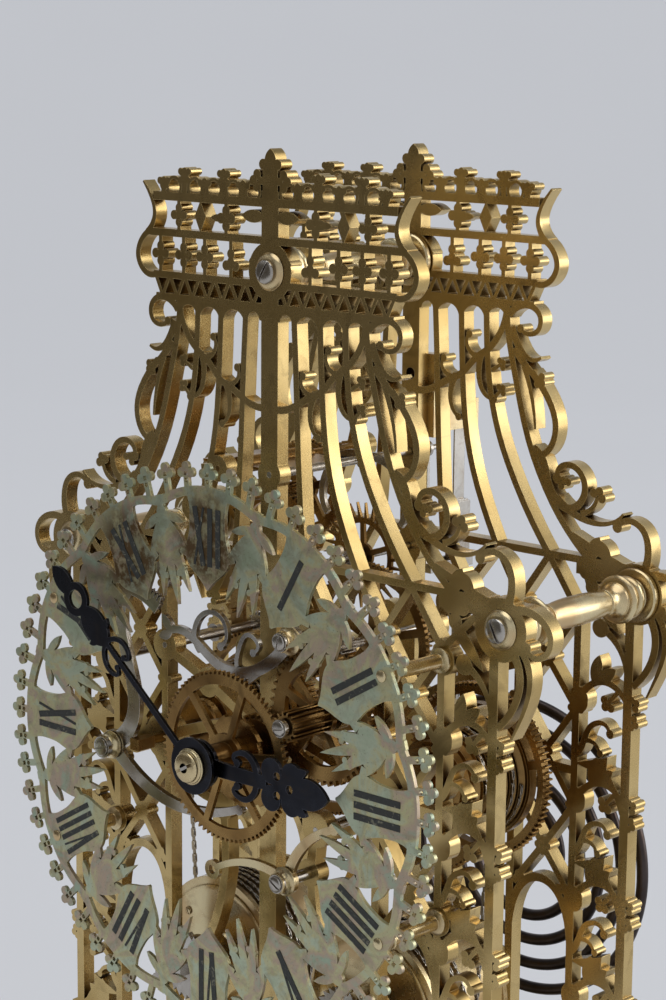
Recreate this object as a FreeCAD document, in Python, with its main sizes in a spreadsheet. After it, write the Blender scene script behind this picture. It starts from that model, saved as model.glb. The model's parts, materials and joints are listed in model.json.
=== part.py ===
"""Gothic fretted-frame skeleton clock: two-train fusee movement with rack striking.

Lengths are millimetres.  Shapes are drawn in clock coordinates: x to the right seen from the
front, y from the front plate's front face towards the back, z up from the level of the upper
corner pillars.  The movement's own placement then lifts them onto the base, so that the origin
of the finished model is the middle of the base's underside.
"""
import FreeCAD, Part
import math
import os
import Sketcher
from FreeCAD import Placement, Rotation, Vector

doc = FreeCAD.newDocument("skeleton_clock")
sheet = doc.addObject("Spreadsheet::Sheet", "Sizes")

DRIVING_SIZES = {
    "base_width": 264, "base_depth": 176, "base_height": 28, "base_round": 6,
    "foot_height": 10, "foot_radius": 8,
    "plate_thickness": 4.5, "plate_pitch": 62, "plate_drop": 240, "bar_width": 2.6,
    "pillar_reach": 88, "pillar_radius": 4.2, "collar_radius": 8, "top_pillar_rise": 91,
    "low_pillar_reach": 77, "low_pillar_drop": 231,
    "washer_radius": 5.6, "washer_height": 1.6, "screw_radius": 3.6, "screw_dome": 1.5,
    "shank_radius": 1.8,
    "dial_drop": 50, "dial_front": 24, "dial_thickness": 1.2, "dial_outer": 88,
    "numeral_depth": 0.15, "numeral_width": 1.9, "post_radius": 2.2,
    "arbor_radius": 1.5, "pivot_radius": 0.9, "pivot_play": 0.05, "end_shake": 0.25,
    "fusee_reach": 46, "fusee_drop": 57, "fusee_small": 9, "fusee_large": 19,
    "barrel_reach": 33, "barrel_drop": 128, "barrel_radius": 24, "barrel_length": 32,
    "great_teeth": 84, "great_module": 0.62, "great_pinion": 14,
    "between_teeth": 72, "between_module": 0.66, "centre_pinion": 18,
    "centre_teeth": 96, "centre_module": 0.55, "third_pinion": 8,
    "third_teeth": 80, "third_module": 0.58, "escape_pinion": 8,
    "escape_teeth": 30, "escape_radius": 16.5, "escape_rise": 1.6, "pallet_rise": 31.6,
    "cannon_teeth": 24, "minute_teeth": 48, "minute_module": 0.82,
    "minute_pinion": 14, "hour_teeth": 84, "hour_module": 0.6024,
    "pin_pinion": 12, "pin_teeth": 72, "pin_module": 0.64,
    "gather_pinion": 9, "gather_teeth": 64, "gather_module": 0.58,
    "warn_pinion": 8, "warn_teeth": 56, "warn_module": 0.54, "fly_pinion": 8,
    "pendulum_depth": 86, "bob_radius": 20, "bob_drop": 203, "bob_thickness": 9,
    "gong_depth": 99, "gong_radius": 56, "gong_wire": 3.7, "gong_pitch": 8.2,
    "gong_reach": 19, "gong_drop": 102,
}
for row, (alias, value) in enumerate(DRIVING_SIZES.items(), start=1):
    sheet.set("A%d" % row, alias)
    sheet.set("B%d" % row, str(value))
    sheet.setAlias("B%d" % row, alias)
doc.recompute()


def size(alias):
    """The value of one cell of the sheet."""
    return float(getattr(sheet, alias))


def count(alias):
    """A cell that holds a number of teeth."""
    return int(round(size(alias)))


PLATE = size("plate_thickness")
PITCH = size("plate_pitch")
BACK = PITCH + PLATE
SHOULDER = size("base_height") + size("foot_height") + size("plate_drop")
MOVEMENT = Vector(0, -BACK / 2, SHOULDER)
DEPTH = Vector(0, 1, 0)
ALONG_DEPTH = Rotation(Vector(1, 0, 0), -90)
UPRIGHT = Rotation()
nodes = {}


def keep(label, item):
    """Name a finished sub-part and list it for export."""
    item.Label = label
    nodes[label] = item
    return item


def shaped(label, shape):
    """A sub-part whose outline only code can draw, set on the movement."""
    item = doc.addObject("Part::Feature", label)
    item.Shape = shape
    item.Placement = Placement(MOVEMENT, Rotation())
    return item


def cylinder(radius, length, x, y, z, turn=ALONG_DEPTH):
    """A Part cylinder whose radius and length are expressions on the sheet."""
    item = doc.addObject("Part::Cylinder", "turned")
    item.setExpression("Radius", radius)
    item.setExpression("Height", length)
    item.Placement = Placement(MOVEMENT + Vector(x, y, z), turn)
    return item


def cone(radius_start, radius_end, length, x, y, z, turn=ALONG_DEPTH):
    """A Part cone whose sizes are expressions on the sheet."""
    item = doc.addObject("Part::Cone", "tapered")
    item.setExpression("Radius1", radius_start)
    item.setExpression("Radius2", radius_end)
    item.setExpression("Height", length)
    item.Placement = Placement(MOVEMENT + Vector(x, y, z), turn)
    return item


def box(length, width, height, x, y, z):
    """A Part box, sizes as expressions, its lowest corner at x, y, z."""
    item = doc.addObject("Part::Box", "block")
    item.setExpression("Length", length)
    item.setExpression("Width", width)
    item.setExpression("Height", height)
    item.Placement = Placement(MOVEMENT + Vector(x, y, z), Rotation())
    return item


def joined_objects(items):
    """Several objects fused into one solid."""
    item = doc.addObject("Part::MultiFuse", "joined")
    item.Shapes = items
    item.Refine = True
    return item


def fused(label, items):
    """A finished sub-part fused from several objects."""
    return keep(label, joined_objects(items))


def grouped(label, items):
    """Identical pieces that share one node but stay separate solids."""
    item = doc.addObject("Part::Compound", label)
    item.Links = items
    return keep(label, item)


def cut(base, tool):
    """One object with another taken out of it."""
    item = doc.addObject("Part::Cut", "opened")
    item.Base = base
    item.Tool = tool
    return item


# ---------------------------------------------------------------- outlines in the plate's plane

def spot(x, z):
    return Vector(x, 0, z)


def polygon(points):
    """A flat face with straight sides."""
    corners = [spot(x, z) for x, z in points]
    return Part.Face(Part.makePolygon(corners + corners[:1]))


def slab(x_low, x_high, z_low, z_high):
    return polygon([(x_low, z_low), (x_high, z_low), (x_high, z_high), (x_low, z_high)])


def disc(x, z, radius):
    return Part.Face(Part.Wire(Part.makeCircle(radius, spot(x, z), DEPTH)))


def ring(x, z, outer, inner):
    return disc(x, z, outer).cut(disc(x, z, inner))


def smooth_curve(points):
    curve = Part.BSplineCurve()
    curve.interpolate([spot(x, z) for x, z in points])
    return curve


def stroke(points, start_width, end_width=None):
    """A bar along a smooth line through the points, its width changing evenly."""
    end_width = start_width if end_width is None else end_width
    middle = smooth_curve(points)
    steps = 1 if len(points) == 2 else 4 * (len(points) - 1)
    sides = ([], [])
    for step in range(steps + 1):
        share = step / steps
        at = middle.FirstParameter + share * (middle.LastParameter - middle.FirstParameter)
        centre = middle.value(at)
        across = middle.tangent(at)[0].cross(DEPTH)
        half = (start_width + share * (end_width - start_width)) / 2
        for side, sign in zip(sides, (1, -1)):
            side.append(centre + across * (half * sign))
    edges = []
    for side in sides:
        if steps == 1:
            edges.append(Part.makeLine(side[0], side[1]))
        else:
            curve = Part.BSplineCurve()
            curve.interpolate(side)
            edges.append(curve.toShape())
    ends = [Part.makeLine(sides[0][end], sides[1][end]) for end in (0, -1)]
    return Part.Face(Part.Wire([edges[0], ends[1], edges[1], ends[0]]))


def scroll(points, start_width, end_width, ball):
    """A stroke that ends in a small round leaf bud."""
    return [stroke(points, start_width, end_width), disc(points[-1][0], points[-1][1], ball)]


def foil(x, z, reach, lobe, turns, first=0.0):
    """Round lobes about a middle: a trefoil, quatrefoil or cinquefoil."""
    parts = [disc(x, z, reach * 0.62)]
    for turn in range(turns):
        angle = math.radians(first + 360 / turns * turn)
        parts.append(disc(x + reach * math.cos(angle), z + reach * math.sin(angle), lobe))
    return parts


def leaf(x, z, angle, length, width):
    """A pointed leaf from x, z, bounded by two arcs."""
    way = Vector(math.cos(math.radians(angle)), 0, math.sin(math.radians(angle)))
    side = way.cross(DEPTH)
    root = spot(x, z)
    tip = root + way * length
    belly = root + way * (length * 0.45)
    over = Part.Arc(root, belly + side * (width / 2), tip).toShape()
    under = Part.Arc(tip, belly - side * (width / 2), root).toShape()
    return Part.Face(Part.Wire([over, under]))


def facing_back(face):
    """The same flat face with its normal along +y, so that neighbours can merge."""
    turned = face.copy()
    if turned.normalAt(0, 0).y < 0:
        turned.reverse()
    return turned


def joined(faces):
    """One flat face, or several, from overlapping faces."""
    flat = [facing_back(face) for shape in faces for face in shape.Faces]
    if len(flat) == 1:
        return flat[0]
    return flat[0].multiFuse(flat[1:]).removeSplitter()


def mirrored(shape):
    """The mirror image of flat faces about the clock's middle."""
    return shape.mirror(Vector(), Vector(1, 0, 0))


def raised(face, y, thickness):
    """Extrude a flat face backwards from depth y."""
    moved = face.copy()
    moved.translate(Vector(0, y, 0))
    return moved.extrude(Vector(0, thickness, 0))


# ---------------------------------------------------------------- where the arbors stand

def triangle(first, second, first_reach, second_reach, side):
    """The point at given distances from two others, on the left (1) or right (-1) of their line."""
    span = math.dist(first, second)
    along = (first_reach ** 2 - second_reach ** 2 + span ** 2) / (2 * span)
    off = side * math.sqrt(first_reach ** 2 - along ** 2)
    way = ((second[0] - first[0]) / span, (second[1] - first[1]) / span)
    return (first[0] + way[0] * along - way[1] * off, first[1] + way[1] * along + way[0] * off)


def reach(teeth_a, teeth_b, module):
    """Centre distance of two wheels in mesh."""
    return (count(teeth_a) + count(teeth_b)) * size(module) / 2


CENTRE = (0, -size("dial_drop"))
ESCAPE = (0, size("escape_rise"))
PALLET = (0, size("pallet_rise"))
FUSEE = (size("fusee_reach"), -size("fusee_drop"))
STRIKE_FUSEE = (-FUSEE[0], FUSEE[1])
BARREL = (size("barrel_reach"), -size("barrel_drop"))
STRIKE_BARREL = (-BARREL[0], BARREL[1])
BETWEEN = triangle(FUSEE, CENTRE, reach("great_teeth", "great_pinion", "great_module"),
                   reach("between_teeth", "centre_pinion", "between_module"), 1)
THIRD = triangle(CENTRE, ESCAPE, reach("centre_teeth", "third_pinion", "centre_module"),
                 reach("third_teeth", "escape_pinion", "third_module"), -1)


def polar(start, distance, angle):
    turn = math.radians(angle)
    return (start[0] + distance * math.cos(turn), start[1] + distance * math.sin(turn))


PIN = polar(STRIKE_FUSEE, reach("great_teeth", "pin_pinion", "great_module"), 88)
GATHER = polar(PIN, reach("pin_teeth", "gather_pinion", "pin_module"), 80)
WARN = polar(GATHER, reach("gather_teeth", "warn_pinion", "gather_module"), 68)
FLY = polar(WARN, reach("warn_teeth", "fly_pinion", "warn_module"), 50)
MINUTE = polar(CENTRE, reach("cannon_teeth", "minute_teeth", "minute_module"), 29)
HAMMER = (-72, -36)
RACK = (-59, -60)
HOOK = (16, -14)
LIFTER = (17, -86)

# ---------------------------------------------------------------- the fretted plates


def buds(x, z, angle, bud=1.1):
    """Three round buds at the end of a stem that points along the angle."""
    return [disc(*polar((x, z), bud * 1.2, angle + turn), bud) for turn in (-80, 0, 80)]


def sprig(points, start_width, end_width, bud=1.1):
    """A stem that ends in three round buds."""
    (before_x, before_z), (x, z) = points[-2:]
    angle = math.degrees(math.atan2(z - before_z, x - before_x))
    return [stroke(points, start_width, end_width)] + buds(x, z, angle, bud)


def crocket(x, top):
    """An upright leafy spike on the crown, with side buds on its stem."""
    parts = [slab(x - 1.1, x + 1.1, 111, top - 2), leaf(x, top - 4.6, 90, 4.6, 3.4)]
    levels = (115.6, 118.2) if top > 118 else (115.2,)
    for level in levels:
        parts += [disc(x - 1.7, level, 1.1), disc(x + 1.7, level, 1.1)]
    return parts


CROWN_BANDS = ((49, 109.4, 112), (51.5, 98.7, 101), (49, 86.2, 88.3), (48, 79.8, 81.7))


def crown():
    """Right half of the cresting, its two traceried rows and the zigzag band."""
    parts = [slab(0, end, low, high) for end, low, high in CROWN_BANDS]
    for x, top in ((11, 116.8), (19, 119.8), (27, 116.8), (35.5, 119.5), (44.5, 116.6)):
        parts += crocket(x, top)
    parts += [ring(x, 113.6, 3.3, 2.3) for x in (7, 15, 23, 31, 40)]
    parts.append(stroke([(53.5, 114.8), (50, 110), (48.6, 105), (50, 101.5), (52, 99.5)], 0.7, 2.1))
    parts.append(stroke([(51, 99.9), (54.5, 97), (56, 92.5), (54, 88.5), (48.6, 87)], 1.9))
    parts += foil(18, 105.3, 2.2, 1.6, 4) + [leaf(19, 105.3, 0, 5.4, 2.2)]
    parts += foil(38, 105.3, 2.1, 1.4, 4)
    parts.append(polygon([(28.8, 100.5), (31.2, 105.3), (28.8, 110), (26.4, 105.3)]))
    parts += [leaf(2, 106.6, 0, 9.6, 3.8), leaf(2, 93.5, 0, 6.6, 4.2)]
    parts += foil(16, 92.8, 2.3, 1.5, 3, 90)
    for x in (27, 36, 46):
        parts += foil(x, 93.5, 2.2, 1.5, 4)
    for x, low, high in ((18, 100, 110), (38, 100, 110), (16, 87, 100), (27, 87, 100), (36, 87, 100),
                         (46, 87, 100)):
        parts.append(slab(x - 0.7, x + 0.7, low, high))
    tooth = 6.4
    for number in range(7):
        x = 3.6 + tooth * number
        parts.append(stroke([(x, 87.4), (x + tooth / 2, 80.8)], 1.2))
        parts.append(stroke([(x + tooth / 2, 80.8), (x + tooth, 87.4)], 1.2))
    return parts


def spandrels(edges):
    """Round heads for the windows between neighbouring bars under the crown."""
    parts = []
    for left, right in zip(edges, edges[1:]):
        middle = (left + right) / 2
        half = (right - left) / 2
        spring = 79.7 - half
        parts.append(slab(left, right, spring, 80.8).cut(disc(middle, spring, half - 0.8)))
    return parts


SPREADING = (((9.6, 80.5), (10, 75), (11.2, 50), (13, 20), (14.2, 7)),
             ((20, 80.5), (20.2, 75), (21.2, 55), (23, 40), (25.5, 30), (29.3, 20), (35.6, 7)),
             ((29.9, 80.5), (30, 75), (32.2, 53), (36, 40), (40.7, 30), (46.5, 20), (55.8, 7)),
             ((37.8, 80.5), (38, 75), (41.2, 60), (47.2, 40), (52, 30), (58.5, 20), (72.4, 6.4)))


def spreading_bars():
    """Right half of the bars that sweep from the crown to the shoulder, with their branches."""
    width = size("bar_width")
    parts = spandrels((3.4, 9.6, 20, 29.9, 37.8))
    parts += [stroke(list(points), width * 0.85) for points in SPREADING]
    parts += scroll([(38.6, 77), (42.4, 80), (46.6, 80.4), (50.2, 77.6), (49.6, 73.4), (46, 72),
                     (43, 73.4)], 2.4, 1.3, 1.3)
    parts.append(stroke([(39.5, 73.6), (43, 67.5), (47, 64.6), (51, 65.4)], 3.4, 0.9))
    parts += sprig([(41, 67.6), (46, 62), (50.4, 58.8)], 3, 1.6, 1.2)
    parts.append(stroke([(47.6, 61), (54.4, 53), (57, 45.5), (55.4, 39.4), (50.4, 36)], 2.4, 2))
    parts.append(stroke([(44.6, 62.6), (48, 53), (49.4, 44)], 2, 0.8))
    parts.append(stroke([(37.6, 80.5), (35.6, 72), (31, 66.4), (25.4, 62.6), (20.6, 58), (15, 55.4),
                         (10.6, 53), (2, 51.2)], 2.2))
    parts += scroll([(28.6, 65), (24.6, 64.4), (22.4, 67.4), (23.4, 70.2)], 1.9, 1.1, 1.2)
    parts += scroll([(19.6, 57.6), (15.4, 57), (12.8, 59.4), (13.4, 62)], 1.9, 1.1, 1.2)
    parts += scroll([(28.4, 65), (27.4, 58), (29.4, 53), (33.4, 51.4)], 2.6, 1.2, 1.3)
    parts += scroll([(18.4, 57.4), (16.4, 52), (17.2, 47), (19.6, 44.6)], 2.6, 1.1, 1.2)
    parts += sprig([(32.4, 60), (35.8, 62)], 1.4, 1, 1) + sprig([(33.4, 51.6), (36, 54.2)], 1.4, 1, 1)
    return parts


def corner_leafage():
    """Scrolls and leaves round the corner pillar's boss."""
    parts = scroll([(49, 38), (53, 34), (54.6, 29), (57.6, 24.4), (62.4, 21.8), (67.4, 25), (68, 30.6),
                    (64, 34.6), (59.4, 34), (58, 30.4)], 3.2, 1.7, 1.6)
    parts += buds(61, 28.8, 120, 1.2)
    parts.append(stroke([(58, 24.6), (64, 20.8), (70, 19), (78, 19.6), (82.4, 22.8)], 2.8, 0.8))
    parts += sprig([(67, 21), (71.6, 23.6), (73, 26.8)], 1.8, 1.3, 1.4)
    parts += scroll([(88, 4), (91, 8.6), (91.6, 13), (89.6, 19), (84.6, 21.2), (80.4, 18.8)],
                    3, 1.6, 1.7)
    parts += [leaf(70, 7, 62, 9, 4.6), leaf(78, 7, 118, 8, 4), stroke([(64, 14), (72, 11), (84, 7)], 2.6, 2)]
    parts += scroll([(90, 5), (96, 6.6), (101, 5.4), (105, 1), (104, -4), (100, -5.8), (97.2, -3.4)],
                    2.6, 1.5, 1.4)
    parts.append(stroke([(92, -5), (95, -15), (92.4, -22), (87.6, -27.6)], 2.8, 2))
    parts.append(stroke([(94, -3), (98.5, -14), (96.4, -22), (92.6, -30)], 2.6, 0.7))
    return parts


def lattice(points, width):
    """Crossing straight bars with a small quatrefoil at every joint."""
    parts = [stroke([start, end], width) for start, end in zip(points, points[1:])]
    for x, z in points[1:-1]:
        parts += foil(x, z, 1.9, 1.2, 4)
    return parts


def shoulder():
    """Right half of the shoulder rail, its pillar boss and the lattice below it."""
    width = size("bar_width")
    parts = [slab(0, 84, 6.2, 8.4), disc(size("pillar_reach"), 0, 9)] + corner_leafage()
    parts += foil(72, 2.6, 2.9, 2.4, 3, -90) + [slab(66, 84, 3, 7)]
    parts += lattice([(35.6, 7), (45, -8), (56, -24), (67.2, -38), (56, -53), (45, -68)], 2.2)
    parts += lattice([(55.8, 7), (45, -8)], 2.2) + lattice([(55.8, 7), (67.2, -9)], 2.2)
    parts += lattice([(80, 3), (67.2, -9), (56, -24), (45, -38), (56, -53), (67.2, -68), (56, -83),
                      (45, -97)], 2.2)
    parts += lattice([(45, -68), (56, -83), (67.2, -97)], 2.2)
    parts += lattice([(14.2, 7), (23.4, -8), (35.6, 7)], 2.2)
    parts.append(stroke([(45, -7), (45, -58)], width))
    return parts


def leafy_scroll(inner, outer, z):
    """One repeat of the foliage between the side panel's two uprights."""
    parts = [leaf(inner - 2.6, z, 0, 7, 8)]
    parts.append(stroke([(inner, z - 4), (71, z + 4), (77, z + 7), (82.4, z + 5.4), (outer, z + 0.6)],
                        2.4, 1.8))
    parts += [leaf(73.4, z + 5.4, 78, 9.6, 4.2), leaf(74.4, z + 6, 38, 9, 4)]
    parts += sprig([(82.6, z + 5), (80.4, z + 2.4), (79, z + 0.8)], 1.6, 1.3, 1.35)
    parts += scroll([(inner, z - 17), (70.6, z - 12), (73, z - 7.2), (77, z - 5.6), (80, z - 8.4)],
                    2.6, 1.2, 1.4)
    parts += scroll([(70.6, z - 12), (74.6, z - 12.4), (76.6, z - 15)], 1.6, 1, 1.1)
    parts.append(polygon([(inner, z - 19.6), (79.4, z - 15.6), (79, z - 22.6), (74, z - 21)]))
    parts.append(stroke([(78, z - 20), (82.2, z - 25.4), (outer - 1, z - 32)], 2.4, 1.6))
    parts += buds(outer + 2, z + 2, 30, 1.15) + buds(outer + 1.8, z - 3.4, -20, 1.15)
    return parts


def side_panel():
    """Right half of the tall side panel: two slender uprights with foliage between them."""
    bottom = -size("plate_drop")
    inner = 67.2
    outer = 86
    parts = [slab(inner - 1.3, inner + 1.3, bottom + 1, -8), slab(outer - 1.6, outer + 1.6, bottom + 1, -4)]
    parts += [disc(75.4, -12, 2.9), leaf(69, 2, -48, 20, 4)]
    parts.append(stroke([(77.4, -12.6), (83, -18), (85, -24)], 2.4, 1.2))
    repeat = 31
    for number in range(6):
        parts += leafy_scroll(inner, outer, -35 - repeat * number)
    return parts


def cusped_window(left, right, apex, spring, width):
    """A rounded arch head between two uprights, with cusped foils in its spandrels."""
    middle = (left + right) / 2
    quarter = (right - left) / 4
    rise = apex - spring
    parts = []
    for side in (-1, 1):
        jamb = middle - 2 * quarter * side
        parts.append(stroke([(jamb, spring), (jamb + 0.35 * quarter * side, spring + 0.55 * rise),
                             (middle - 0.9 * quarter * side, spring + 0.9 * rise), (middle, apex)], width))
        parts += sprig([(jamb, spring + 0.8 * rise), (jamb + quarter * 0.6 * side, apex - 0.1 * rise)],
                       1.8, 1.4, 1.1)
    return parts


def lower_arcade():
    """Right half of the lower frame: uprights, rails, arched windows and the foot band."""
    bottom = -size("plate_drop")
    width = size("bar_width")
    jamb = 43.5
    middle = 21.8
    rail = BARREL[1]
    parts = [slab(jamb - 1.4, jamb + 1.4, bottom + 1, -55), slab(40, 68, -58.4, -55.8),
             slab(0, jamb, rail - 1.7, rail + 1.7), slab(middle - 1.3, middle + 1.3, -223, rail)]
    parts += cusped_window(jamb, 67.2, -93.5, -112, width)
    for left, right in ((0, middle), (middle, jamb)):
        parts += cusped_window(left, right, rail - 1, rail - 22, width * 0.9)
        parts += [stroke([(left, -206), ((left + right) / 2, -222)], 2.2),
                  stroke([(right, -206), ((left + right) / 2, -222)], 2.2)]
    parts += [slab(0, 88.2, -224.4, -221.8), slab(0, 92, bottom, bottom + 3.4)]
    tooth = 8.8
    for number in range(10):
        x = tooth * number
        parts.append(stroke([(x, -237.6), (x + tooth / 2, -223)], 1.5))
        parts.append(stroke([(x + tooth / 2, -223), (x + tooth, -237.6)], 1.5))
    parts.append(disc(size("low_pillar_reach"), -size("low_pillar_drop"), 8.6))
    parts += scroll([(87, -214), (93, -219), (97.4, -227), (93.6, -232), (90.4, -228)], 3, 1.6, 1.9)
    return parts


def train_bosses():
    """Bosses that carry the pivots, with the curved struts that hold them in the frame."""
    parts = [slab(-3.4, 3.4, -223, 114)]
    for x, z, radius in ((CENTRE[0], CENTRE[1], 9), (THIRD[0], THIRD[1], 5.6), (0, ESCAPE[1], 5.2),
                         (PALLET[0], PALLET[1], 4.6), (FUSEE[0], FUSEE[1], 7.5),
                         (BETWEEN[0], BETWEEN[1], 5.4), (BARREL[0], BARREL[1], 8.5),
                         (MINUTE[0], MINUTE[1], 4.6), (0, size("top_pillar_rise"), 8.6)):
        parts += [disc(x, z, radius), disc(-x, z, radius)]
    for x, z, radius in ((PIN[0], PIN[1], 5), (GATHER[0], GATHER[1], 4.6), (WARN[0], WARN[1], 4.4),
                         (FLY[0], FLY[1], 4), (HAMMER[0], HAMMER[1], 5.2), (RACK[0], RACK[1], 4.6),
                         (HOOK[0], HOOK[1], 4.2), (LIFTER[0], LIFTER[1], 4.2)):
        parts.append(disc(x, z, radius))
    for sign in (1, -1):
        curved = [(FUSEE[0] * sign, FUSEE[1]), (24 * sign, -49), (0, -44)]
        parts.append(stroke(curved, 3.4))
        parts.append(stroke([(BETWEEN[0] * sign, BETWEEN[1]), (7 * sign, -60), (0, -52)], 3.2))
        parts.append(stroke([(BETWEEN[0] * sign, BETWEEN[1]), (34 * sign, -69), (44 * sign, -58)], 3))
        parts.append(stroke([(BETWEEN[0] * sign, BETWEEN[1]), (19 * sign, -98), (32 * sign, -127)], 3))
        parts.append(stroke([(0, -50), (MINUTE[0] * sign, MINUTE[1]), (45 * sign, -28)], 3))
    parts.append(stroke([(FLY[0], FLY[1]), (-28.5, 30)], 3))
    parts.append(stroke([(THIRD[0], THIRD[1]), (HOOK[0], HOOK[1])], 3))
    parts.append(stroke([(BETWEEN[0], BETWEEN[1]), (LIFTER[0], LIFTER[1])], 3))
    return parts


def finial():
    """The cross-shaped leafy finial over the middle of the crown."""
    parts = [slab(-3, 3, 108, 120.5), leaf(0, 118.6, 90, 7.6, 4.6)]
    for sign in (1, -1):
        parts += [slab(min(0, 5 * sign), max(0, 5 * sign), 115.8, 118)]
        parts += buds(5 * sign, 116.9, 90 - 90 * sign, 1.5)
        parts.append(disc(2.9 * sign, 121.6, 1.6))
    return parts


def plate_face():
    """The whole pierced outline that both plates share."""
    regions = (crown(), spreading_bars(), shoulder(), side_panel(), lower_arcade())
    half = joined([joined(region) for region in regions])
    return joined([half, mirrored(half), joined(train_bosses() + finial())])


RUNNING = ((CENTRE, "arbor_radius"), (THIRD, "pivot_radius"), (ESCAPE, "pivot_radius"),
           (PALLET, "pivot_radius"), (FUSEE, "arbor_radius"), (STRIKE_FUSEE, "arbor_radius"),
           (BETWEEN, "pivot_radius"), (PIN, "pivot_radius"), (GATHER, "pivot_radius"),
           (WARN, "pivot_radius"), (FLY, "pivot_radius"), (HAMMER, "arbor_radius"))
PILLARS = ((0, size("top_pillar_rise")), (size("pillar_reach"), 0), (-size("pillar_reach"), 0),
           (size("low_pillar_reach"), -size("low_pillar_drop")),
           (-size("low_pillar_reach"), -size("low_pillar_drop")))
PILLAR_NODES = {"pillar_top": PILLARS[:1], "upper_pillars": PILLARS[1:3], "lower_pillars": PILLARS[3:]}
DIAL_POSTS = ((67.5, -12), (-67.5, -12), (67.5, -88), (-67.5, -88))
STUDS = (MINUTE, RACK, HOOK, LIFTER)


def plate_holes(studs):
    """Every round hole drilled through one plate."""
    holes = [disc(x, z, size(alias) + size("pivot_play")) for (x, z), alias in RUNNING]
    holes += [disc(x, z, size("shank_radius")) for x, z in PILLARS]
    holes += [disc(x, z, 3) for x, z in (BARREL, STRIKE_BARREL)]
    holes += [disc(x, z, size("shank_radius")) for x, z in studs]
    return holes


def plates():
    """Front and back plates, one pierced outline, each with its own holes."""
    face = plate_face()
    bossed = joined([face] + [disc(x, z, 4.4) for x, z in DIAL_POSTS])
    front = bossed.cut(Part.makeCompound(plate_holes(STUDS + DIAL_POSTS)))
    back = face.cut(Part.makeCompound(plate_holes(((0, 56),))))
    keep("front_plate", shaped("front_plate", raised(front, 0, PLATE)))
    keep("back_plate", shaped("back_plate", raised(back, PITCH, PLATE)))

# ---------------------------------------------------------------- base, feet, pillars, fasteners


def base():
    """Ebonised plinth with a rounded upper edge, made as a padded and filleted body."""
    body = doc.addObject("PartDesign::Body", "base_plinth")
    sketch = body.newObject("Sketcher::SketchObject", "plinth_outline")
    ground = [item for item in body.Origin.OriginFeatures if item.Role == "XY_Plane"][0]
    sketch.AttachmentSupport = [(ground, "")]
    sketch.MapMode = "FlatFace"
    half_width = size("base_width") / 2
    half_depth = size("base_depth") / 2
    corners = [Vector(-half_width, -half_depth, 0), Vector(half_width, -half_depth, 0),
               Vector(half_width, half_depth, 0), Vector(-half_width, half_depth, 0)]
    for start, end in zip(corners, corners[1:] + corners[:1]):
        sketch.addGeometry(Part.LineSegment(start, end))
    for edge in range(4):
        sketch.addConstraint(Sketcher.Constraint("Coincident", edge, 2, (edge + 1) % 4, 1))
    sketch.addConstraint(Sketcher.Constraint("Horizontal", 0))
    sketch.addConstraint(Sketcher.Constraint("Horizontal", 2))
    sketch.addConstraint(Sketcher.Constraint("Vertical", 1))
    sketch.addConstraint(Sketcher.Constraint("Vertical", 3))
    sketch.addConstraint(Sketcher.Constraint("Symmetric", 0, 1, 2, 1, -1, 1))
    width = sketch.addConstraint(Sketcher.Constraint("DistanceX", 0, 1, 0, 2, 2 * half_width))
    depth = sketch.addConstraint(Sketcher.Constraint("DistanceY", 1, 1, 1, 2, 2 * half_depth))
    sketch.setExpression("Constraints[%d]" % width, "Sizes.base_width")
    sketch.setExpression("Constraints[%d]" % depth, "Sizes.base_depth")
    pad = body.newObject("PartDesign::Pad", "plinth")
    pad.Profile = sketch
    pad.setExpression("Length", "Sizes.base_height")
    doc.recompute()
    top = [name for name in ("Face%d" % number for number in range(1, 7))
           if pad.Shape.getElement(name).CenterOfMass.z > size("base_height") - 0.01]
    rounding = body.newObject("PartDesign::Fillet", "plinth_edge")
    rounding.Base = (pad, top)
    rounding.setExpression("Radius", "Sizes.base_round")
    keep("base_plinth", body)


def feet():
    """Four turned feet between the base and the plates' lower corners."""
    items = []
    for x in (-size("low_pillar_reach"), size("low_pillar_reach")):
        for y in (PLATE / 2, PITCH + PLATE / 2):
            lift = -size("plate_drop") - size("foot_height")
            disc_foot = cylinder("Sizes.foot_radius", "Sizes.foot_height * 0.4", x, y, lift, UPRIGHT)
            neck = cylinder("Sizes.foot_radius * 0.6", "Sizes.foot_height * 0.6", x, y,
                            lift + size("foot_height") * 0.4, UPRIGHT)
            items.append(joined_objects([disc_foot, neck]))
    grouped("frame_feet", items)


def pillars():
    """Turned distance pillars: a plain barrel between collars, beads and spigots."""
    free = PITCH - PLATE
    for name, places in PILLAR_NODES.items():
        turned = []
        for x, z in places:
            parts = [cylinder("Sizes.pillar_radius", "Sizes.plate_pitch - Sizes.plate_thickness",
                              x, PLATE, z)]
            for front, radius, length in ((0, 1, 2.2), (3.4, 0.72, 3.4), (8, 0.86, 2.4)):
                for start in (PLATE + front, PLATE + free - front - length):
                    parts.append(cylinder("Sizes.collar_radius * %g" % radius, "%g" % length,
                                          x, start, z))
            turned.append(joined_objects(parts))
        grouped(name, turned)


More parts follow.
